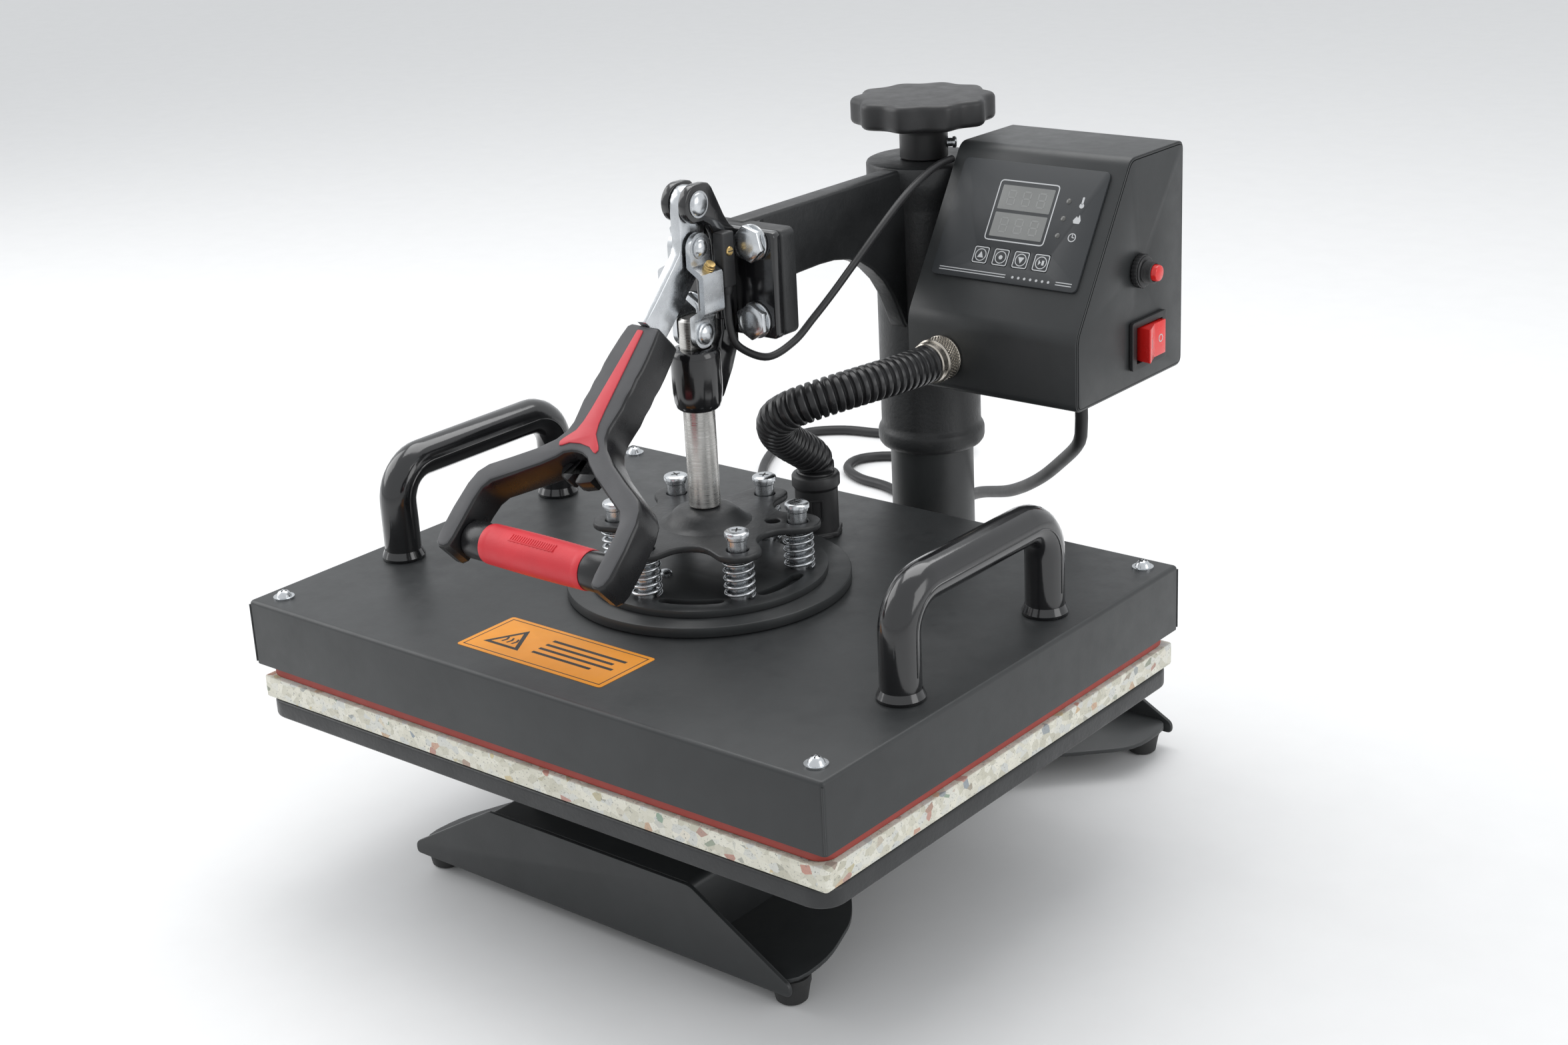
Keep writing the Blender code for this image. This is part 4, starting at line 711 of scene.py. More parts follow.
for x in (-179, 179):
    for y in (-137, 137):
        turning(shell, mm([(0, 0), (5.6, 0), (5.6, 0.9), (4.2, 0.9)]
                          + arc((0, 0.4), 4, 20, 80, 5) + [(0, 4.1)]),
                over_platen(COVER, x, y), 28, tint=1)
        for angle in (20, 110):
            turn = Matrix.Rotation(math.radians(angle + x), 4, "Z")
            block(shell, (-0.0019, -0.0003, 0.0036), (0.0019, 0.0003, 0.00432), 0.0,
                  over_platen(COVER, x, y) @ turn, tint=2)
make_piece("cover", shell, [POWDER, ZINC, SOFT_BLACK], "heater", "powder_black", "heater_cover",
           closed=False)
shape = bmesh.new()
slab(shape, [mm(rounded(188, 145.5, 5, 4))], 16 * MM, over_platen(131.6), 1.2 * MM)
make_piece("heating_plate", shape, ALUMINIUM, "heater", "aluminium", "heater_plate")

# %% [markdown]
# A caution plate is stuck to the front left of the cover. The lettering of such a plate is left
# out: it is an amber field with a thin dark border, a triangle with a heat mark, and plain bars.

# %% Amber plate
AMBER = coating("amber_film", (0.80, 0.30, 0.015), (0.42, 0.55), 0.0006, 0.00002, drift=0.06)
shape = bmesh.new()
FILM = COVER + 0.18
PRINT = 0.06  # thickness of a printed mark


def print_mark(shape, outline, height, tint, matrix):
    """A printed mark: a very thin plate just proud of the film."""
    slab(shape, [mm(outline)], PRINT * MM, matrix @ shift(0, 0, height * MM), tint=tint)


def print_bar(shape, low, high, height, tint, matrix):
    print_mark(shape, [low, (high[0], low[1]), high, (low[0], high[1])], height, tint, matrix)


place = over_platen()
slab(shape, [mm(soften([(-55, -130), (43, -130), (43, -90), (-55, -90)], 2))], 0.3 * MM,
     over_platen(COVER + 0.05), 0.06 * MM)
for low, high in (((-52.5, -127.8), (40.5, -127.2)), ((-52.5, -92.8), (40.5, -92.2)),
                  ((-52.5, -127.8), (-51.9, -92.2)), ((39.9, -127.8), (40.5, -92.2))):
    print_bar(shape, low, high, FILM + 0.03, 1, place)
print_mark(shape, [(-46, -120), (-22, -120), (-34, -99)], FILM + 0.05, 1, place)
print_mark(shape, [(-42.3, -118), (-25.7, -118), (-34, -103.4)], FILM + 0.09, 0, place)
for i in range(3):
    x = -37.4 + 3.4 * i
    print_mark(shape, [(x - 0.6, -115.6), (x + 0.6, -115.6), (x + 1.5, -112.6), (x + 0.3, -110),
                       (x - 0.9, -110), (x + 0.1, -112.6)], FILM + 0.14, 1, place)
for i, end in enumerate((34, 30, 34, 24)):
    print_bar(shape, (-15, -102.6 - 5 * i), (end, -100.6 - 5 * i), FILM + 0.05, 1, place)
make_piece("caution_plate", shape, [AMBER, SOFT_BLACK], "heater", "powder_black")

# %% [markdown]
# Two round plates sit on the cover. The lower one spreads the load over the platen, and the
# upper one carries the shoulder bolts and springs. The upper one has arc slots between the
# springs; these are holes in its outline, as a laser would cut them.

# %% Pressure discs


def ring_slot(radius, width, start, end):
    """An arc-shaped slot with round ends."""
    outer = arc((0, 0), radius + width / 2, start, end, 12)
    inner = arc((0, 0), radius - width / 2, end, start, 12)
    tip = arc(polar(radius, end), width / 2, end, end + 180, 6)
    tail = arc(polar(radius, start), width / 2, start + 180, start + 360, 6)
    return outer[:-1] + tip[:-1] + inner[:-1] + tail[:-1]


shape = bmesh.new()
slab(shape, [mm(circle((0, 0), 74.5, 96)), mm(circle((-66, 20), 2.4, 16))], 5.5 * MM,
     over_platen(162.85), 0.7 * MM)
make_piece("lower_disc", shape, POWDER, "heater", "powder_black", "pressure_disc")

shape = bmesh.new()
holes = [mm(ring_slot(50, 6.5, 60 * i + 14 - 30, 60 * i + 46 - 30)) for i in range(6)]
slab(shape, [mm(circle((0, 0), 62.3, 96))] + holes, 3.5 * MM, over_platen(167.65),
     0.6 * MM)
STUD_RING = 48
STUDS = [polar(STUD_RING, 60 * i - 30) for i in range(6)]
stud = [(0, 166.6), (5, 166.6), (5, 200.2), (5.7, 200.9), (5.7, 202.3), (6.5, 202.5), (6.5, 203.9),
        (6.2, 204.6), (5.2, 205.2), (3, 205.4), (2.2, 205.35), (0, 205.35)]
for i, (x, y) in enumerate(STUDS):
    spot = over_platen(0, x, y)
    turning(shape, mm(stud), spot, 36, tint=1)
    for angle in (35 + 40 * i, 125 + 40 * i):
        turn = Matrix.Rotation(math.radians(angle), 4, "Z")
        block(shape, (-0.0026, -0.00042, 0.2050), (0.0026, 0.00042, 0.20545), 0, spot @ turn,
              tint=2)
for angle in (0, 120, 240):
    x, y = polar(24, angle)
    turning(shape, mm([(0, 169), (3.6, 169), (3.6, 170.2), (2.8, 171.1), (0, 171.5)]),
            over_platen(0, x, y), 20, tint=1)
make_piece("upper_disc_and_bolts", shape, [POWDER, ZINC, SOFT_BLACK], "heater", "powder_black",
           "spring_disc")

# %% [markdown]
# The springs are wound from bright wire, with closed ends. A spring is squeezed or let out as
# the rod moves; each is drawn here at one length and rides on no body.

# %% Springs


def coil(low, high, radius, wire, turns, per_turn=20):
    points = []
    count = round(turns * per_turn)
    rest = 2.1 * wire
    for i in range(count + 1):
        angle = 2 * math.pi * i / per_turn
        share = min(1.0, max(0.0, (i - 0.75 * per_turn) / (count - 1.5 * per_turn)))
        start = min(i / per_turn, 0.75) * rest / 0.75
        end = max(0.0, i / per_turn - turns + 0.75) * rest / 0.75
        points.append((radius * math.cos(angle), radius * math.sin(angle),
                       low + start + end + share * (high - low - 2 * rest)))
    return points


wire = mm(coil(170.55, 190.25, 7.4, 0.85, 5.5))
for i, (x, y) in enumerate(STUDS):
    shape = bmesh.new()
    pipe(shape, wire, 0.85 * MM, 3, matrix=over_platen(0, x, y))
    piece = make_piece(f"coil_{i + 1}", shape, ZINC, None, "zinc", f"spring_{i + 1}", crisp=80)
    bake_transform(piece)

# %% [markdown]
# The side handles are thick bent bars with a gloss enamel, each on two round feet. The real one
# is a moulded grip on a rod, so a parting line runs along each side as a thin raised line.

# %% Side handles
for side, name in ((-1, "left"), (1, "right")):
    low, top = COVER + 0.3, COVER + 0.3 + 62 - 10.5
    front, rear = PLATEN.y / MM - 61, PLATEN.y / MM + 60
    line = [(front, low), (front, low + 12)]
    line += arc((front + 20, top - 20), 20, 180, 90, 10)
    line += arc((rear - 20, top - 20), 20, 90, 0, 10)
    line += [(rear, low + 12), (rear, low)]
    shape = bmesh.new()
    points = mm([(side * 169, y, z) for y, z in line])
    pipe(shape, points, 10.1 * MM, 7)
    for offset in (-1, 1):
        edge = mm([(side * 169 + offset * 9.9, y, z) for y, z in line[1:-1]])
        pipe(shape, edge, 0.55 * MM, 2)
    for y in (front, rear):
        turning(shape, mm([(0, low), (11.6, low), (11.9, low + 1.4), (10.2, low + 5),
                           (0, low + 5)]), shift(side * 169 * MM, y * MM, 0), 40)
    make_piece(f"side_bar_{name}", shape, ENAMEL, "heater", "gloss_black", f"side_handle_{name}")

# %% [markdown]
# ## Rod and spider
#
# The rod is ground bar with a flat tang for the links. It presses on the spider, a plate with
# six lobes that the shoulder bolts pass through. A pressed dome stiffens the plate round the rod.
# The outline has convex lobes and hollow valleys, as a punched plate would.

# %% Rod and spider plate
PY = PLATEN.y / MM
rod = bmesh.new()
turning(rod, mm([(0, 203.2), (7.4, 203.2), (8.2, 204), (8.2, 302.6), (6.8, 304), (0, 304)]),
        over_platen(), 64)
flats = bmesh.new()
for side in (-1, 1):
    low, high = sorted((side * 4, side * 14))
    block(flats, (low * MM, PLATEN.y - 0.015, 0.277), (high * MM, PLATEN.y + 0.015, 0.31))
rod = carve(rod, flats)
make_piece("ground_rod", rod, STEEL, "plunger", "steel", "plunger_rod")

outline = []
for i in range(6):
    angle = 60 * i - 30
    outline += arc(polar(STUD_RING, angle), 12, angle - 78, angle + 78, 14)
    outline += arc(polar(51.5, angle + 30), 13.2, angle + 30 + 246, angle + 30 + 114, 8)[1:-1]
holes = [mm(circle(spot, 5.5, 24)) for spot in STUDS] + [mm(circle((30.5, 17.6), 3.8, 20))]
spider = bmesh.new()
slab(spider, [mm(outline)] + holes, 3.5 * MM, over_platen(193.15), 0.9 * MM,
     segments=3)
turning(spider, mm([(0, 193), (25.5, 193), (25.5, 194.5), (24, 194.9), (21.5, 195.8), (19.5, 197.3),
                    (17.6, 199.6), (15.6, 201.4), (13, 202.5), (10, 202.9), (0, 202.9)]),
        over_platen(), 64)
make_piece("spider", spider, CAST_PAINT, "plunger", "powder_black", "spider_plate", crisp=40)

# %% [markdown]
# ## The swing arm
#
# The arm is one casting: a long sleeve on the post, a deep web and a flange for the clamp. The
# web's underside sweeps up from the sleeve, and fillets join it to the flange. Cast edges are
# never sharp, so each part has a broad round on its edges.

# %% Cast arm
arm = bmesh.new()
turning(arm, mm([(24.4, 181), (28, 181), (29, 181.6), (30.3, 183.4), (30.75, 185.4),
                 (30.75, 189.6), (30.2, 191.4), (29.2, 193), (28.75, 195), (28.75, 321),
                 (29.2, 324), (31.2, 332), (32.3, 336), (32.5, 338), (32.5, 345.2), (31.9, 346.4),
                 (30.6, 347), (6.4, 347), (6.4, 323.6), (24.4, 323.6)]),
        over_post(), 72, close=True)
front = PY + 31.3
web = [(front + 4, 346), (151, 346), (151, 262)] + [
    tuple(point) for point in (
        (124.5, 254), (120.4, 259), (116.2, 267.5), (110.6, 278), (103.4, 287.6), (94, 296),
        (84, 302.2), (73, 306.4), (61, 308.6), (48, 309.2), (30, 308.8), (15, 307.6),
        (4, 305.4), (-6, 302), (front + 4, 298.5))]
slab(arm, [mm(web)], 12 * MM, facing((1, 0, 0)), 2 * MM, segments=3, angle=24)
slab(arm, [mm(rounded(34, 27.5, 4))], 11.7 * MM,
     facing((0, -1, 0), (0, (front + 5.85) * MM, 317.5 * MM)), 1.8 * MM, segments=3)
for side in (-1, 1):
    hollow = [(side * 4, 0.5), (side * 15, 0.5)] + [
        (side * (15 - 9 * math.sin(math.radians(a))), 9.5 - 9 * math.cos(math.radians(a)))
        for a in range(0, 91, 15)] + [(side * 4, 9.5)]
    slab(arm, [mm(hollow)], 42 * MM, shift(0, (front + 11) * MM, 323 * MM), 0.4 * MM)
make_piece("cast_arm", arm, CAST_PAINT, "arm", "powder_black", "swing_arm")

# %% [markdown]
# ## The toggle clamp
#
# The clamp is a bought unit, dipped in glossy paint: a back plate, two ears with round fronts
# and a steep back slope, and a guide sleeve for the rod. The slot between the ears takes the
# lever. Four hexagon bolts with washers hold it to the arm.

# %% Clamp bracket
clamp = bmesh.new()
slab(clamp, [mm(rounded(34, 27.5, 3))], 6 * MM,
     facing((0, -1, 0), (0, (PY + 28) * MM, 317.5 * MM)), 1.2 * MM, segments=3)
ear = arc((0, 362), 10, 250, 90, 18) + [
    (5, 371.9), (8.6, 371.2), (11, 368.6), (14.5, 362), (19, 353.2), (23, 347.6), (27, 344.6),
    (27, 300), (13, 300), (12.4, 338), (11, 344), (8, 349.6), (3, 352.6)]
for side in (-1, 1):
    slab(clamp, [mm(ear)], 4.8 * MM, facing((1, 0, 0), (side * 5.7 * MM, PLATEN.y, 0)),
         1.0 * MM, segments=3, angle=24)
guide = [(10.4, 258), (14, 259), (22, 272), (28, 285), (28, 342), (15, 342), (15, 292),
         (10.4, 284)]
slab(clamp, [mm(guide)], 12 * MM, ACROSS, 1.6 * MM, segments=3)
turning(clamp, mm([(8.4, 288), (10, 288), (11.8, 287.3), (12.8, 285.8), (13, 284), (13, 272),
                   (12.8, 265), (12.2, 260), (11.2, 257), (10, 256), (8.4, 256)]),
        over_platen(), 56, close=True)
make_piece("clamp", clamp, ENAMEL, "arm", "gloss_black", "clamp_bracket")

for row, z in (("lower", 299), ("upper", 339)):
    for side, x in (("left", -21), ("right", 21)):
        bolt = bmesh.new()
        spot = facing((0, -1, 0), (x * MM, (PY + 24.7) * MM, z * MM)) @ Matrix.Rotation(
            0.3 * x + z, 4, "Z")
        turning(bolt, mm([(0, 0.1), (9.4, 0.1), (9.4, 1), (9, 1.3), (0, 1.3)]), spot, 36)
        slab(bolt, [mm(circle((0, 0), 9.6, 6))], 4.2 * MM, spot @ shift(0, 0, 3.3 * MM), 0.5 * MM)
        turning(bolt, mm([(0, 4), (8.2, 4), (8.2, 5.2), (7.6, 5.7), (5, 6.2), (0, 6.4)]), spot, 36)
        make_piece(f"bolt_{row}_{side}", bolt, ZINC, "arm", "zinc", f"clamp_bolt_{row}_{side}")


def rivet(shape, radius, half, place, tint=0):
    """A rivet along X with domed heads on thin washers."""
    crown = radius * 1.45
    side = [(0, half + 2.4), (0.4 * crown, half + 2.25), (0.75 * crown, half + 1.7),
            (0.95 * crown, half + 1), (crown, half + 0.5), (crown + 1, half + 0.5),
            (crown + 1, half), (radius, half)]
    profile = side + [(x, -z) for x, z in reversed(side)]
    turning(shape, mm(profile), facing((1, 0, 0), place), 36, tint=tint)


pin = bmesh.new()
rivet(pin, 4, 8.2, (0, PLATEN.y, 0.362))
make_piece("pivot_rivet", pin, ZINC, "arm", "zinc", "lever_pivot_pin")

# %% [markdown]
# ## The lever
#
# The bar is laser-cut plate, bent in its own plane, and zinc plated. The handle is moulded over
# its end: a tapered shaft that opens into a fork, with a matt front, glossier sides and a red
# inlay that widens down the shaft. All of it is drawn in the handle's own sloping frame.

# %% Lever bar


def band(points, half_width, count=10):
    """The outline of a bar of even width along a bent line, with a round first end."""
    line = [Vector(point) for point in points]
    left, right_side = [], []
    for i, point in enumerate(line):
        before = (point - line[i - 1]).normalized() if i else None
        after = (line[i + 1] - point).normalized() if i + 1 < len(line) else None
        side = ((before or after) + (after or before)).normalized()
        normal = Vector((-side.y, side.x))
        along = after or before
        reach = half_width / max(0.5, normal.dot(Vector((-along.y, along.x))))
        left.append(tuple(point + normal * reach))
        right_side.append(tuple(point - normal * reach))
    start = (line[1] - line[0]).normalized()
    angle = math.degrees(math.atan2(start.y, start.x))
    cap = arc(line[0], half_width, angle + 90, angle + 270, count)
    return cap[1:-1] + right_side + list(reversed(left))


SLOPE = math.radians(47)
shaft_way = Vector((-math.sin(SLOPE), -math.cos(SLOPE)))
root = Vector((-23, 312))
knee = Vector((0, 336))
bend = [knee.lerp(Vector((0, 362)), 0.35), knee + Vector((-0.4, 3.4)), knee + Vector((-2.6, -2.7)),
        root.lerp(knee, 0.4), root + (knee - root) * 0.12, root + shaft_way * 2.5]
bar = bmesh.new()
slab(bar, [mm(band([(0, 362)] + bend + [tuple(root + shaft_way * 12.2)], 9)),
           mm(circle((0, 362), 4.3)), mm(circle((0, 340), 3.3))], 6 * MM, ACROSS, 0.5 * MM)
HANDLE = Matrix((
    (1, 0, 0, 0),
    (0, shaft_way.x, -shaft_way.y, (PY + root.x) * MM),
    (0, shaft_way.y, shaft_way.x, root.y * MM),
    (0, 0, 0, 1),
))
block(bar, (-0.003, 0.011, -0.0039), (0.003, 0.0355, 0.009), 0.4 * MM, HANDLE)
make_piece("bent_bar", bar, ZINC, "lever", "zinc", "lever_bar")
pin = bmesh.new()
rivet(pin, 3, 7.6, (0, PLATEN.y, 0.340))
make_piece("link_rivet", pin, ZINC, "lever", "zinc", "link_pin")

# %% Moulded handle and inlay
SHAFT_MATT = coating("handle_matt", (0.062, 0.062, 0.066), (0.5, 0.62), 0.0004, 0.00007,
                     drift=0.08)
SHAFT_SIDE = coating("handle_side", (0.010, 0.010, 0.011), (0.24, 0.34), 0.0008, 0.00003)
half = [(0, 12), (8.5, 12), (10.6, 13.5), (11.8, 20), (12.8, 30), (13.1, 36), (12.7, 41),
        (13.3, 47), (12.9, 52), (13.4, 58), (12.7, 64), (12.2, 70), (13.2, 75), (17, 80.5),
        (26, 87.5), (38, 94.6), (50, 101.4), (54.6, 106.5), (56.8, 114), (57.8, 128), (57.6, 143),
        (56.4, 147.4), (53.6, 149.6), (49.8, 149.6), (47.2, 147.6), (46.6, 143), (46.4, 122),
        (45.4, 115), (42.6, 110.4), (30, 103), (18, 96), (10.5, 90.5), (7.6, 87.4), (3.4, 85.8),
        (0, 85.5)]
handle = bmesh.new()
slab(handle, [mm(both_sides(half))], 19 * MM,
     HANDLE @ shift(0, 0, 3 * MM), 2.2 * MM, segments=3, angle=50)
front_way = (HANDLE.to_3x3() @ Vector((0, 0, -1))).normalized()
bmesh.ops.recalc_face_normals(handle, faces=handle.faces)
for face in handle.faces:
    face.material_index = 0 if face.normal.dot(front_way) > 0.93 else 1
inlay = [(0, 15.4), (1.5, 15.4), (1.9, 16.2), (4.2, 62), (4.9, 69), (6.4, 74.4), (11.6, 80.2),
         (12.8, 82.2), (12.0, 84.2), (10.4, 83.8), (6.6, 81.6), (0, 80.8)]
slab(handle, [mm(both_sides(inlay))], 1.2 * MM,
     HANDLE @ shift(0, 0, -6.5 * MM), 0.25 * MM, tint=2, angle=50)
slab(handle, [mm(both_sides([(9, 88), (12, 91.5), (10, 96), (4, 98), (0, 98), (0, 86)]))], 9 * MM,
     HANDLE @ shift(0, 0, 6 * MM), 1.5 * MM, tint=1, angle=50)
make_piece("forked_handle", handle, [SHAFT_MATT, SHAFT_SIDE, INLAY_RED], "lever",
           "satin_plastic", "handle_body", crisp=30)

# %% [markdown]
# The grip is a red sleeve between black collars. It swells a little in the middle, and fine rings
# run round it. A small raised patch with bars stands where the real grip has its own marking.

# %% Grip
grip = bmesh.new()
centre = HANDLE @ Vector((0, 137.3 * MM, 6 * MM))
lie = facing((1, 0, 0), centre)
profile = [(0, -33.2), (9.9, -33.2), (10.1, -32.4)]
rings = 46
for i in range(rings + 1):
    x = -29.5 + 59 * i / rings
    swell = 10.15 + 0.35 * math.cos(math.pi * x / 66)
    profile.append((swell - (0.3 if i % 2 else 0), x))
profile += [(10.1, 32.4), (9.9, 33.2), (0, 33.2)]
turning(grip, mm(profile), lie, 48)
for side in (-1, 1):
    collar = [(0, 32), (9.5, 32), (9.6, 34), (9.6, 44.6), (8.8, 46.1), (0, 46.1)]
    turning(grip, mm([(x, side * z) for x, z in collar]), lie, 40, tint=1)
patch = facing(HANDLE.to_3x3() @ Vector((0, -0.25, -1)), centre, (1, 0, 0))
slab(grip, [mm(rounded(2.3, 15, 0.5, 2))], 1.4 * MM, patch @ shift(0, 0, 9.85 * MM), 0.2 * MM)
for i in range(19):
    y = (-13.5 + 1.5 * i) * MM
    block(grip, (-1.7 * MM, y - 0.3 * MM, 10.3 * MM), (1.7 * MM, y + 0.3 * MM, 10.8 * MM), 0,
          patch)
make_piece("ribbed_grip", grip, [GRIP_RED, SHAFT_SIDE], "lever", "grip_red", "handle_grip",
           crisp=28)

# %% [markdown]
# The two links are flat bar, stepped outwards so that they clear the clamp. Each is the bent
# profile drawn across the machine, cut to round ends. A little brass-coloured magnet sits on the
# step of the right one and works the closing sensor.

# %% Links
for side, name in ((-1, "left"), (1, "right")):
    inner, outer, low, high, end = 4.5, 7.5, 296, 340, 7.5
    strip = [(outer, low - end - 1), (outer, low + end - 0.6), (outer + 0.7, low + end + 0.8),
             (outer + 6.8, low + end + 4.2), (outer + 7.5, low + end + 5.6),
             (outer + 7.5, high - end - 5.6), (outer + 6.8, high - end - 4.2),
             (outer + 0.7, high - end - 0.8), (outer, high - end + 0.6), (outer, high + end + 1),
             (inner, high + end + 1), (inner, high - end - 1.4), (inner + 0.5, high - end - 2.2),
             (inner + 6.8, high - end - 6.2), (inner + 7.5, high - end - 7.2),
             (inner + 7.5, low + end + 7.2), (inner + 6.8, low + end + 6.2),
             (inner + 0.5, low + end + 2.2), (inner, low + end + 1.4), (inner, low - end - 1)]
    link = bmesh.new()
    slab(link, [mm([(side * x, z) for x, z in strip])], 30 * MM,
         facing((0, -1, 0), (0, PLATEN.y, 0)))
    limit = bmesh.new()
    stadium = arc((0, high), end, 0, 180, 20) + arc((0, low), end, 180, 360, 20)
    slab(limit, [mm(stadium), mm(circle((0, high), 3.3))], 60 * MM,
         ACROSS)
    link = carve(link, limit, "INTERSECT")
    cap = [(0, 7.2), (4.9, 7.2), (5.6, 7.5), (5.6, 8.1), (4.9, 8.4), (4.4, 9.3), (2.6, 10.2),
           (0, 10.5)]
    turning(link, mm(cap), facing((side, 0, 0), (0, PLATEN.y, low * MM)), 32)
    if side > 0:
        for i, radius in enumerate((2.9, 2.9, 2.6)):
            rim = [(0, 0), (radius - 0.25, 0), (radius, 0.25), (radius, 1.1), (radius - 0.25, 1.35),
                   (0, 1.35)]
            turning(link, mm(rim), facing((0.55, 0, 0.83), ((outer + 4.6) * MM, PLATEN.y,
                                                            (high - end - 2.6) * MM))
                    @ shift(0, 0, 1.4 * i * MM - 0.4 * MM), 28, tint=1)
    make_piece(f"link_{name}", link, [ZINC, BRASS], "toggle_links", "zinc",
               f"toggle_link_{name}", crisp=30)

# %% [markdown]
# ## The pressure knob
#
# The knob is moulded with ten soft lobes and a slightly domed top. Its stem flares into it and
# carries a small clamping screw. Under it the spindle is threaded. The thread is hidden in the
# arm, and is drawn as plain rings 1 mm apart rather than as a helix of its 2 mm pitch.

# %% Knob and spindle
knob = bmesh.new()
lobes = []
for i in range(200):
    angle = 2 * math.pi * i / 200
    radius = 38.2 + 1.8 * math.cos(10 * angle)
    lobes.append((radius * math.cos(angle), radius * math.sin(angle)))
slab(knob, [mm(lobes)], 14.9 * MM, over_post(374.75), 3.2 * MM, segments=5, angle=60)
turning(knob, mm([(0, 381), (33, 381), (33, 382.2), (26, 382.5), (12, 382.75), (0, 382.8)]),
        over_post(), 72)
turning(knob, mm([(6.4, 347.3), (12.8, 347.3), (13.5, 348), (13.5, 361), (14.2, 364),
                  (16.4, 366.6), (19, 368), (6.4, 368)]), over_post(), 48, close=True)
aim = Vector((0.82, 0.57, 0))
spot = facing(aim, Vector((0, POST.y, 0.355)) + aim * 0.0128)
turning(knob, mm([(0, 0), (3.4, 0), (3.4, 0.8), (2.4, 0.8), (2.4, 3.2), (3.1, 3.3), (3.3, 4.6),
                  (2.6, 5.5), (0, 5.8)]), spot, 28, tint=1)
make_piece("lobed_knob", knob, [SATIN, ZINC], "knob", "satin_plastic", "pressure_knob")
spindle = bmesh.new()
thread = [(0, 296), (5, 296)]
for i in range(25):
    thread += [(6, 297 + i), (5.2, 297.5 + i)]
thread += [(6, 323), (6, 366), (5, 367), (0, 367)]
turning(spindle, mm(thread), over_post(), 40)
make_piece("threaded_spindle", spindle, ZINC, "knob", "zinc", "pressure_spindle")

# %% [markdown]
# ## The control box
#
# The box is one sheet bent round the front, slope, top and back, with a generous radius at the
# bends. A separate plate closes the right side, a little inside the bent rim. The inside is
# left hollow, with the circuit board behind the panel.

# %% Folded box and its side plate
profile = soften([(87, 237), (194, 237), (194, 361), (140, 361), (87, 277)], 5, 6)


def inset(outline, amount):
    """Moves a closed outline inwards by about an amount."""
    result = []
    points = [Vector(point) for point in outline]
    for before, point, after in zip(points[-1:] + points, points, points[1:] + points[:1]):
        along = (after - before).normalized()
        result.append(tuple(point + Vector((-along.y, along.x)) * amount))
    return result


box = bmesh.new()
slab(box, [mm(profile), mm(inset(profile, 1.5))], 106.2 * MM, facing((1, 0, 0), (0.0861, 0, 0)),
     0.35 * MM, angle=50)
slab(box, [mm(inset(profile, 0.3))], 1.6 * MM, facing((1, 0, 0), (0.0340, 0, 0)), 0.6 * MM,
     segments=3, angle=60)
make_piece("folded_box", box, POWDER, "arm", "powder_black", "control_box")

side_plate = bmesh.new()
window = [(142.2, 250.1), (169.2, 250.1), (169.2, 269.9), (142.2, 269.9)]
slab(side_plate, [mm(inset(profile, 1.9)), mm(window), mm(circle((147.7, 300), 6))], 1.4 * MM,
     facing((1, 0, 0), (0.1392, 0, 0)), 0.4 * MM, angle=60)
seam = inset(profile, 1.2)
for a, b in zip(seam, seam[1:] + seam[:1]):
    if (Vector(a) - Vector(b)).length > 0.2:
        pipe(side_plate, mm([(139.3, *a), (139.3, *b)]), 0.5 * MM, 1)
make_piece("box_side_plate", side_plate, POWDER, "arm", "powder_black", "box_side_cover")

board = bmesh.new()
START = Vector((0, 0.087, 0.277))
LEAN = math.atan2(84, 53)


def on_slope(x, up, out=0.0):
    """A frame on the sloping front, from millimetres across, up and out."""
    return (Matrix.Translation(START) @ Matrix.Rotation(LEAN, 4, "X")
            @ shift(x * MM, up * MM, out * MM))


slab(board, [mm(rounded(42, 30, 2, 3))], 1.6 * MM, on_slope(86.5, 57.9, -14.8), 0.2 * MM)
for x, y, w, h, tall in ((-26, 8, 9, 9, 11), (-8, 14, 6, 12, 3), (12, 10, 14, 10, 12),
                         (30, -8, 5, 14, 8), (-14, -14, 8, 8, 6), (8, -16, 9, 5, 9)):
    block(board, ((x - w / 2) * MM, (y - h / 2) * MM, -(tall + 1.6) * MM),
          ((x + w / 2) * MM, (y + h / 2) * MM, -1.4 * MM), 0.4 * MM, on_slope(86.5, 57.9, -14),
          1)
make_piece("circuit_board", board, [BOARD, SATIN], "arm", "board_green", "control_board")

# %% [markdown]
# The panel is a printed film. It has a pale frame round two display windows, three indicator
# lamps, four keys, and a double rule along the foot. Words on such panels are left out: each is
# replaced by a plain mark, such as a thermometer, a flame, a clock, an arrow or a dot.

# %% Printed panel
FILM_GREY = coating("panel_film", (0.028, 0.031, 0.034), (0.40, 0.5), 0.0004, 0.00002, drift=0.05)
INK = coating("pale_ink", (0.52, 0.53, 0.54), (0.5, 0.6), 0.0008, 0.00001, drift=0.05)
WINDOW = coating("display_window", (0.175, 0.18, 0.175), (0.16, 0.24), 0.02, 0.00001, drift=0.1,
                 coat=0.3)
GHOST = coating("unlit_segment", (0.235, 0.24, 0.235), (0.2, 0.3), 0.01, 0.00001, drift=0.05)
LAMP = coating("unlit_lamp", (0.09, 0.09, 0.085), (0.2, 0.3), 0.002, 0.00001, coat=0.4)
panel = bmesh.new()
keys = [(68.8 + 12.65 * i, 37.3) for i in range(4)]
openings = [mm([(x + dx, y + dy) for dx, dy in soften(
    [(-4.9, -4.9), (4.9, -4.9), (4.9, 4.9), (-4.9, 4.9)], 1.2, 3)]) for x, y in keys]
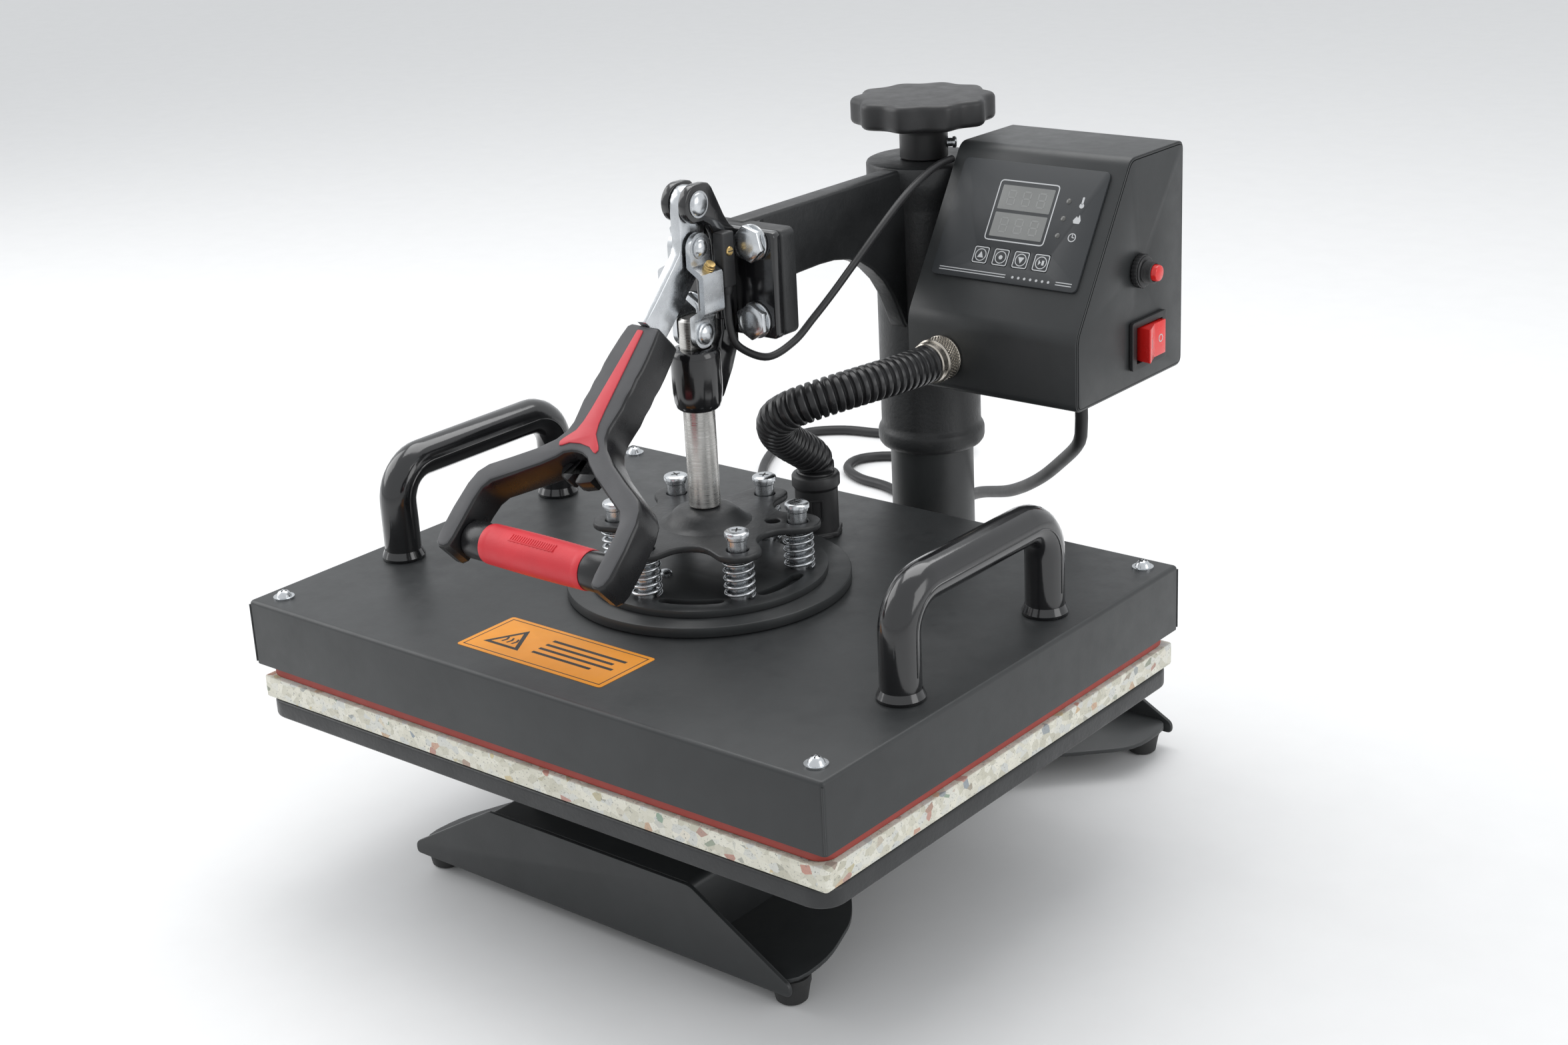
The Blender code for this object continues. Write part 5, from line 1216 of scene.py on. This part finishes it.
slab(panel, [mm(soften([(40.8, 23.8), (132, 23.8), (132, 90.2), (40.8, 90.2)], 3.4, 5))] + openings,
     1.6 * MM, on_slope(0, 0, 1.1), 0.25 * MM, angle=50)


def print_ring(shape, outline, width, height, matrix):
    """A closed printed line."""
    slab(shape, [mm(outline), mm(inset(outline, width))], PRINT * MM,
         matrix @ shift(0, 0, height * MM), tint=1)


def spread(x0, y0, x1, y1, radius=1.5):
    return soften([(x0, y0), (x1, y0), (x1, y1), (x0, y1)], radius, 4)


FACE = 1.93
KEY_FACE = 2.03
film = on_slope(0, 0)
print_ring(panel, spread(67.4, 46.0, 104.9, 80.1, 2.6), 0.65, FACE, film)
for low in (48.4, 63.7):
    print_mark(panel, spread(70, low, 102.6, low + 13.5, 0.6), FACE, 2, film)
    for digit in range(3):
        x, y = 74.4 + 9.4 * digit, low + 2.4
        for bar_low, bar_high in (((0.8, 0), (4.6, 0.9)), ((0.8, 3.9), (4.6, 4.8)),
                                  ((0.8, 7.8), (4.6, 8.7)), ((0, 0.8), (0.9, 4)),
                                  ((4.5, 0.8), (5.4, 4)), ((0, 4.7), (0.9, 7.9)),
                                  ((4.5, 4.7), (5.4, 7.9))):
            print_bar(panel, (x + bar_low[0], y + bar_low[1]), (x + bar_high[0], y + bar_high[1]),
                      FACE + 0.05, 4, film)
for x, y in ((112.3, 72.1), (112, 62.4), (111.6, 52.9)):
    turning(panel, mm([(0, 1.8), (1.5, 1.8), (1.4, 2.1), (0.8, 2.35), (0, 2.45)]),
            on_slope(x, y), 20, tint=3)
print_mark(panel, spread(120, 71, 121.2, 75.2, 0.5), FACE, 1, film)
print_mark(panel, circle((120.6, 70.4), 1.4, 18), FACE, 1, film)
print_mark(panel, [(118.6, 60.6), (122, 60.6), (122.6, 62.4), (121.2, 65.6), (120.6, 63.8),
                   (119.6, 64.6), (118, 62.2)], FACE, 1, film)
print_ring(panel, circle((120.4, 52.9), 2.4, 24), 0.5, FACE, film)
print_bar(panel, (120.15, 52.9), (120.65, 54.6), FACE, 1, film)
print_bar(panel, (120.4, 52.7), (121.8, 53.15), FACE, 1, film)
for low in (26.6, 28.0):
    print_bar(panel, (45.4, low), (87.6, low + 0.45), FACE, 1, film)
    print_bar(panel, (118.8, low), (128.6, low + 0.45), FACE, 1, film)
for i in range(7):
    print_mark(panel, circle((92.2 + 3.7 * i, 27.5), 0.75, 12), FACE, 1, film)
make_piece("printed_panel", panel, [FILM_GREY, INK, WINDOW, LAMP, GHOST], "arm", "panel_grey",
           "control_panel", crisp=25)

# %% Four keys
arrow = [(-1.9, -1.5), (1.9, -1.5), (0, 2)]
for (x, y), name, body in zip(keys, ("up", "set", "down", "start"),
                              ("up_key", "set_key", "down_key", "start_key")):
    key = bmesh.new()
    where = on_slope(x, y)
    slab(key, [mm(spread(-4.7, -4.7, 4.7, 4.7, 1.2))], 1.1 * MM, where @ shift(0, 0, 1.45 * MM),
         0.2 * MM, angle=50)
    print_ring(key, spread(-4.6, -4.6, 4.6, 4.6, 1.4), 0.55, KEY_FACE, where)
    print_ring(key, circle((0, 0), 3.5, 28), 0.5, KEY_FACE, where)
    if name in ("up", "down"):
        marks = [[(px, py * (1 if name == "up" else -1)) for px, py in arrow]]
    elif name == "set":
        marks = [circle((0, 0), 1.2, 16)]
    else:
        marks = [[(-1.6, -1.5), (-0.2, 0), (-1.6, 1.5)], [(0.4, -1.3), (1.8, -1.3), (1.8, 1.3),
                                                          (0.4, 1.3)]]
    for mark in marks:
        print_mark(key, mark, KEY_FACE, 1, where)
    make_piece(f"panel_key_{name}", key, [FILM_GREY, INK], body, "panel_grey", f"key_{name}",
               crisp=25)

# %% [markdown]
# On the side plate sit a rocker switch in a bezel and a resettable breaker: a serrated nut, a
# short threaded barrel and a red button. The rocker's two faces meet in a shallow valley, and
# each has the usual mark, a bar and a ring.

# %% Switch and breaker
bezel = bmesh.new()
spot = facing((1, 0, 0), (0.1403, 0.1557, 0.260))
slab(bezel, [mm(rounded(17.5, 13.25, 1.6, 4)), mm(rounded(13.2, 9.9, 0.6, 3))], 2 * MM,
     spot @ shift(0, 0, 1 * MM), 0.6 * MM, segments=3)
slab(bezel, [mm(rounded(14.8, 10.7, 0.8, 3)), mm(rounded(13.2, 9.9, 0.6, 3))], 11 * MM,
     spot @ shift(0, 0, -5.2 * MM), 0.2 * MM)
slab(bezel, [mm(rounded(14.4, 10.4, 0.8, 3))], 1.4 * MM, spot @ shift(0, 0, -10.4 * MM), 0.2 * MM)
make_piece("bezel", bezel, SATIN, "arm", "satin_plastic", "switch_bezel")

rocker = bmesh.new()
seat = shift(0.141, 0.1557, 0.260) @ Matrix.Rotation(math.radians(11), 4, "Z")
outline = [(6, -11.5), (5.2, -7.5), (3.9, -0.4), (3.8, 0), (3.9, 0.4), (5.2, 7.5), (6, 11.5),
           (5.4, 12), (-3, 8.5), (-3, -8.5), (5.4, -12)]
slab(rocker, [mm(outline)], 18.6 * MM, seat, 0.45 * MM, angle=24)
for y, shape_of in ((-6.4, "bar"), (6.4, "ring")):
    tilt = math.atan2(1.9, 10) * (1 if y > 0 else -1)
    spot = seat @ facing((math.cos(tilt), -math.sin(tilt), 0), (5.05 * MM, y * MM, 0))
    if shape_of == "bar":
        print_mark(rocker, [(-0.35, -2.4), (0.35, -2.4), (0.35, 2.4), (-0.35, 2.4)], 0.02, 1, spot)
    else:
        print_ring(rocker, circle((0, 0), 2.2, 24), 0.6, 0.02, spot)
make_piece("rocker_key", rocker, [SWITCH_RED, INK], "rocker", "switch_red", "power_rocker")


def toothed(radius, teeth, depth):
    """A serrated outline."""
    points = []
    for i in range(2 * teeth):
        angle = math.pi * i / teeth
        reach = radius - (depth if i % 2 else 0)
        points.append((reach * math.cos(angle), reach * math.sin(angle)))
    return points


breaker = bmesh.new()
spot = facing((1, 0, 0), (0.140, 0.1477, 0.300))
slab(breaker, [mm(toothed(9.2, 26, 0.6)), mm(circle((0, 0), 5.4, 24))], 3.4 * MM,
     spot @ shift(0, 0, 2.1 * MM), 0.3 * MM)
turning(breaker, mm([(4.8, 0.3), (8.1, 0.3), (8.1, 4.3), (7.4, 4.9), (4.8, 4.9)]), spot, 40,
        close=True)
ribs = []
for i in range(9):
    ribs += [(5.5, 3 + 0.8 * i), (5.9, 3.4 + 0.8 * i)]
turning(breaker, mm([(4.8, -1.5), (5.5, -1.5)] + ribs + [(5.6, 10), (4.8, 10)]), spot, 40,
        close=True)
turning(breaker, mm([(0, -20), (8.4, -20), (9, -19.4), (9, -2), (4.9, -2), (4.9, -4.2),
                     (0, -4.2)]), spot, 40)
make_piece("breaker", breaker, SATIN, "arm", "satin_plastic", "breaker_body")
button = bmesh.new()
turning(button, mm([(0, -0.7), (4.4, -0.7), (4.4, 11.9), (4.1, 12.6), (3.4, 13), (0, 13)]), spot,
        40)
make_piece("button", button, SWITCH_RED, "breaker_reset", "switch_red", "reset_button")

# %% [markdown]
# ## Sensor, hose and cords
#
# A small sealed sensor stands behind the clamp, and its thin cable hangs in a loop to the box.
# The heater's wires run in a corrugated hose from a knurled nickel gland to a connector on the
# cover. The hose's ribs are flat on top with narrow grooves, so the radius steps along the route.

# %% Closing sensor and cable
sensor = bmesh.new()
block(sensor, (0.0084, PLATEN.y + 0.0085, 0.318), (0.0152, PLATEN.y + 0.0175, 0.346), 1.0 * MM,
      segments=3)
spot = facing((1, 0, 0), (0.0152, PLATEN.y + 0.013, 0.3365))
turning(sensor, mm([(0, -0.5), (2.4, -0.5), (2.4, 0.4), (2, 0.9), (0, 1.1)]), spot, 24, tint=1)
block(sensor, (-0.0017, -0.00025, 0.0007), (0.0017, 0.00025, 0.00115), 0, spot, 2)
turning(sensor, mm([(0, 2), (3.1, 2), (3, -1.2), (2.4, -3.4), (0, -3.4)]),
        shift(0.012, PLATEN.y + 0.013, 0.3175), 24)
make_piece("sensor_box", sensor, [SATIN, BRASS, SOFT_BLACK], "arm", "satin_plastic",
           "closing_sensor")


def from_platen(route):
    return [(x * MM, y * MM + PLATEN.y, z * MM) for x, y, z in route]


cable = bmesh.new()
route = smooth_route(from_platen([
    (12, 13, 317.5), (12, 13, 308), (12.5, 13.5, 296), (14, 18, 285.5), (17, 36, 276),
    (20, 54, 280), (22.5, 68, 289.5), (25, 82, 300), (27, 98, 312), (28.5, 120, 327),
    (28.8, 141, 339), (29, 160, 347), (29.6, 174, 351), (30.6, 184, 352)]), 2.5 * MM)
pipe(cable, route, 2 * MM, 5)
make_piece("thin_cable", cable, CORD_RUBBER, "arm", "rubber_black", "sensor_cable", crisp=60)

# %% Gland, connector and corrugated hose
gland = bmesh.new()
spot = facing((0, -1, 0), (0.056, 0.0867, 0.256))
turning(gland, mm([(9, 0), (11.8, 0), (12, 0.3), (12, 1.2), (11.4, 1.5), (11.4, 9), (12, 9.3),
                   (12, 10), (11.2, 10.8), (11, 14.4), (10.4, 15), (9, 15)]), spot, 48, close=True)
for i in range(5):
    slab(gland, [mm(toothed(12, 44, 0.6)), mm(circle((0, 0), 11, 44))], 1.25 * MM,
         spot @ Matrix.Rotation(0.07 * (i % 2), 4, "Z") @ shift(0, 0, (2.2 + 1.5 * i) * MM),
         0.25 * MM)
make_piece("knurled_gland", gland, NICKEL, "arm", "nickel", "conduit_gland", crisp=25)

END = Vector((0.002, PLATEN.y + 0.089, 0))
plug_seat = bmesh.new()
turning(plug_seat, mm([(0, 160.1), (13.2, 160.1), (13.2, 161.6), (12.6, 162.4), (11.8, 162.8),
                       (11.8, 186.5), (12.6, 187.6), (13.2, 188.4), (13.2, 193.6), (12.6, 194.6),
                       (11.6, 195.1), (10.4, 195.1), (10.4, 190), (0, 190)]),
        shift(END.x, END.y, 0), 56)
slab(plug_seat, [mm(circle((0, 0), 14.6, 6))], 3 * MM, shift(END.x, END.y, 0.1616), 0.6 * MM)
spot = facing((0.62, -0.78, 0), (END.x + 0.62 * 0.0112, END.y - 0.78 * 0.0112, 0.1765))
slab(plug_seat, [mm(rounded(3.6, 6, 0.6, 3)), mm(rounded(2.6, 5, 0.4, 3))], 2.2 * MM, spot,
     0.3 * MM)
make_piece("hose_connector", plug_seat, SATIN, "heater", "satin_plastic", "conduit_connector")

hose = bmesh.new()
route = smooth_route(from_platen([
    (56, 120.6, 256), (56, 113, 256), (54.5, 100, 256), (50, 82, 255.5), (42, 65, 253.5),
    (32, 53, 250), (21, 47, 245), (11, 48, 238), (4, 56, 228), (1.5, 67, 219), (1.6, 77, 212),
    (2, 85, 206), (2, 89, 200.5), (2, 89, 192)]), 0.54 * MM)
rib = (1, 1, 1, 1, 0.985, 0.86, 0.84, 0.95)
pipe(hose, route, 10.3 * MM, 9, [rib[i % 8] for i in range(len(route))])
piece = make_piece("corrugated_hose", hose, HOSE, None, "satin_plastic", "conduit", crisp=50)
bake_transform(piece)

# %% [markdown]
# The mains cord leaves the box through a ribbed strain relief, drops behind the machine and lies
# on the table in loose bends. It is free, and rides on no body.

# %% Strain relief
cord_route = smooth_route(from_platen([
    (92, 216, 211.2), (92, 216, 203), (87, 221, 188), (64, 238, 167.5), (36, 256, 146),
    (0, 280, 125), (-47, 311, 105), (-90, 345, 77), (-125, 380, 45), (-152, 411, 19),
    (-178, 441, 6.5), (-207, 472, 3.9), (-240, 500, 3.9), (-275, 517, 3.9), (-306, 522, 3.9),
    (-329, 536, 3.9), (-335, 558, 3.9), (-319, 577, 3.9), (-294, 583, 3.9), (-272, 600, 3.9),
    (-277, 627, 3.9), (-303, 640, 3.9), (-334, 630, 3.9), (-362, 620, 3.9), (-391, 612, 3.9),
    (-413, 592, 3.9), (-416, 562, 3.9), (-405, 532, 3.9), (-388, 502, 3.9), (-366, 474, 3.9),
    (-338, 450, 3.9), (-303, 437, 3.9), (-270, 418, 3.9), (-252, 386, 3.9), (-258, 350, 3.9),
    (-288, 328, 4.4), (-315, 325, 9.9), (-330, 325, 10.2)]), 6 * MM)
relief = bmesh.new()
profile = [(0, 0.2), (9, 0.2), (9, -2.4), (8.2, -3.2), (7, -3.6)]
for i in range(6):
    z = -5 - 3.3 * i
    profile += [(7 - 0.42 * i, z), (7 - 0.42 * i, z - 1.8), (5.6 - 0.2 * i, z - 2.1),
                (5.6 - 0.2 * i, z - 3)]
profile += [(4.6, -25), (0, -25)]
turning(relief, mm(profile), shift(0.092, 0.167, 0.2367), 40)
make_piece("ribbed_relief", relief, SOFT_BLACK, "arm", "rubber_black", "cord_strain_relief")

# %% Plug
plug = bmesh.new()
end = cord_route[-1]
near = end.x - 0.0003
body = [(0, 9), (6, 11.6), (14, 12.5), (34, 12.5), (38, 11.8), (40, 10.6), (40, -10.6),
        (38, -11.8), (34, -12.5), (14, -12.5), (6, -11.6), (0, -9)]
slab(plug, [mm([(-x, y) for x, y in body])], 20 * MM, shift(near - 0.016, end.y, end.z), 2.4 * MM,
     segments=3, angle=50)
neck = [(0, 0), (4.7, 0), (4.8, -1.2)]
for i in range(4):
    neck += [(5 + 0.5 * i, -2 - 3.4 * i), (5.2 + 0.5 * i, -3.8 - 3.4 * i),
             (4.4 + 0.5 * i, -4.1 - 3.4 * i), (4.4 + 0.5 * i, -5 - 3.4 * i)]
turning(plug, mm(neck + [(7.2, -17), (0, -17)]), facing((1, 0, 0), (near, end.y, end.z)), 32)
face = near - 0.056
for y in (-0.00635, 0.00635):
    block(plug, (face - 0.016, end.y + y - 0.0008, end.z - 0.0015),
          (face + 0.001, end.y + y + 0.0008, end.z + 0.0048), 0.35 * MM, tint=1)
turning(plug, mm([(0, 1), (2.4, 1), (2.4, -16.6), (1.4, -18), (0, -18)]),
        facing((1, 0, 0), (face, end.y, end.z - 0.005)), 24, tint=1)
plug_piece = make_piece("mains_plug", plug, [SOFT_BLACK, NICKEL], "base", "rubber_black",
                        "power_plug")

# %% Mains cord
cord = bmesh.new()
pipe(cord, cord_route, 3.75 * MM, 5)
cord_piece = make_piece("mains_cord", cord, CORD_RUBBER, None, "rubber_black", "power_cord",
                        crisp=60)
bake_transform(cord_piece)
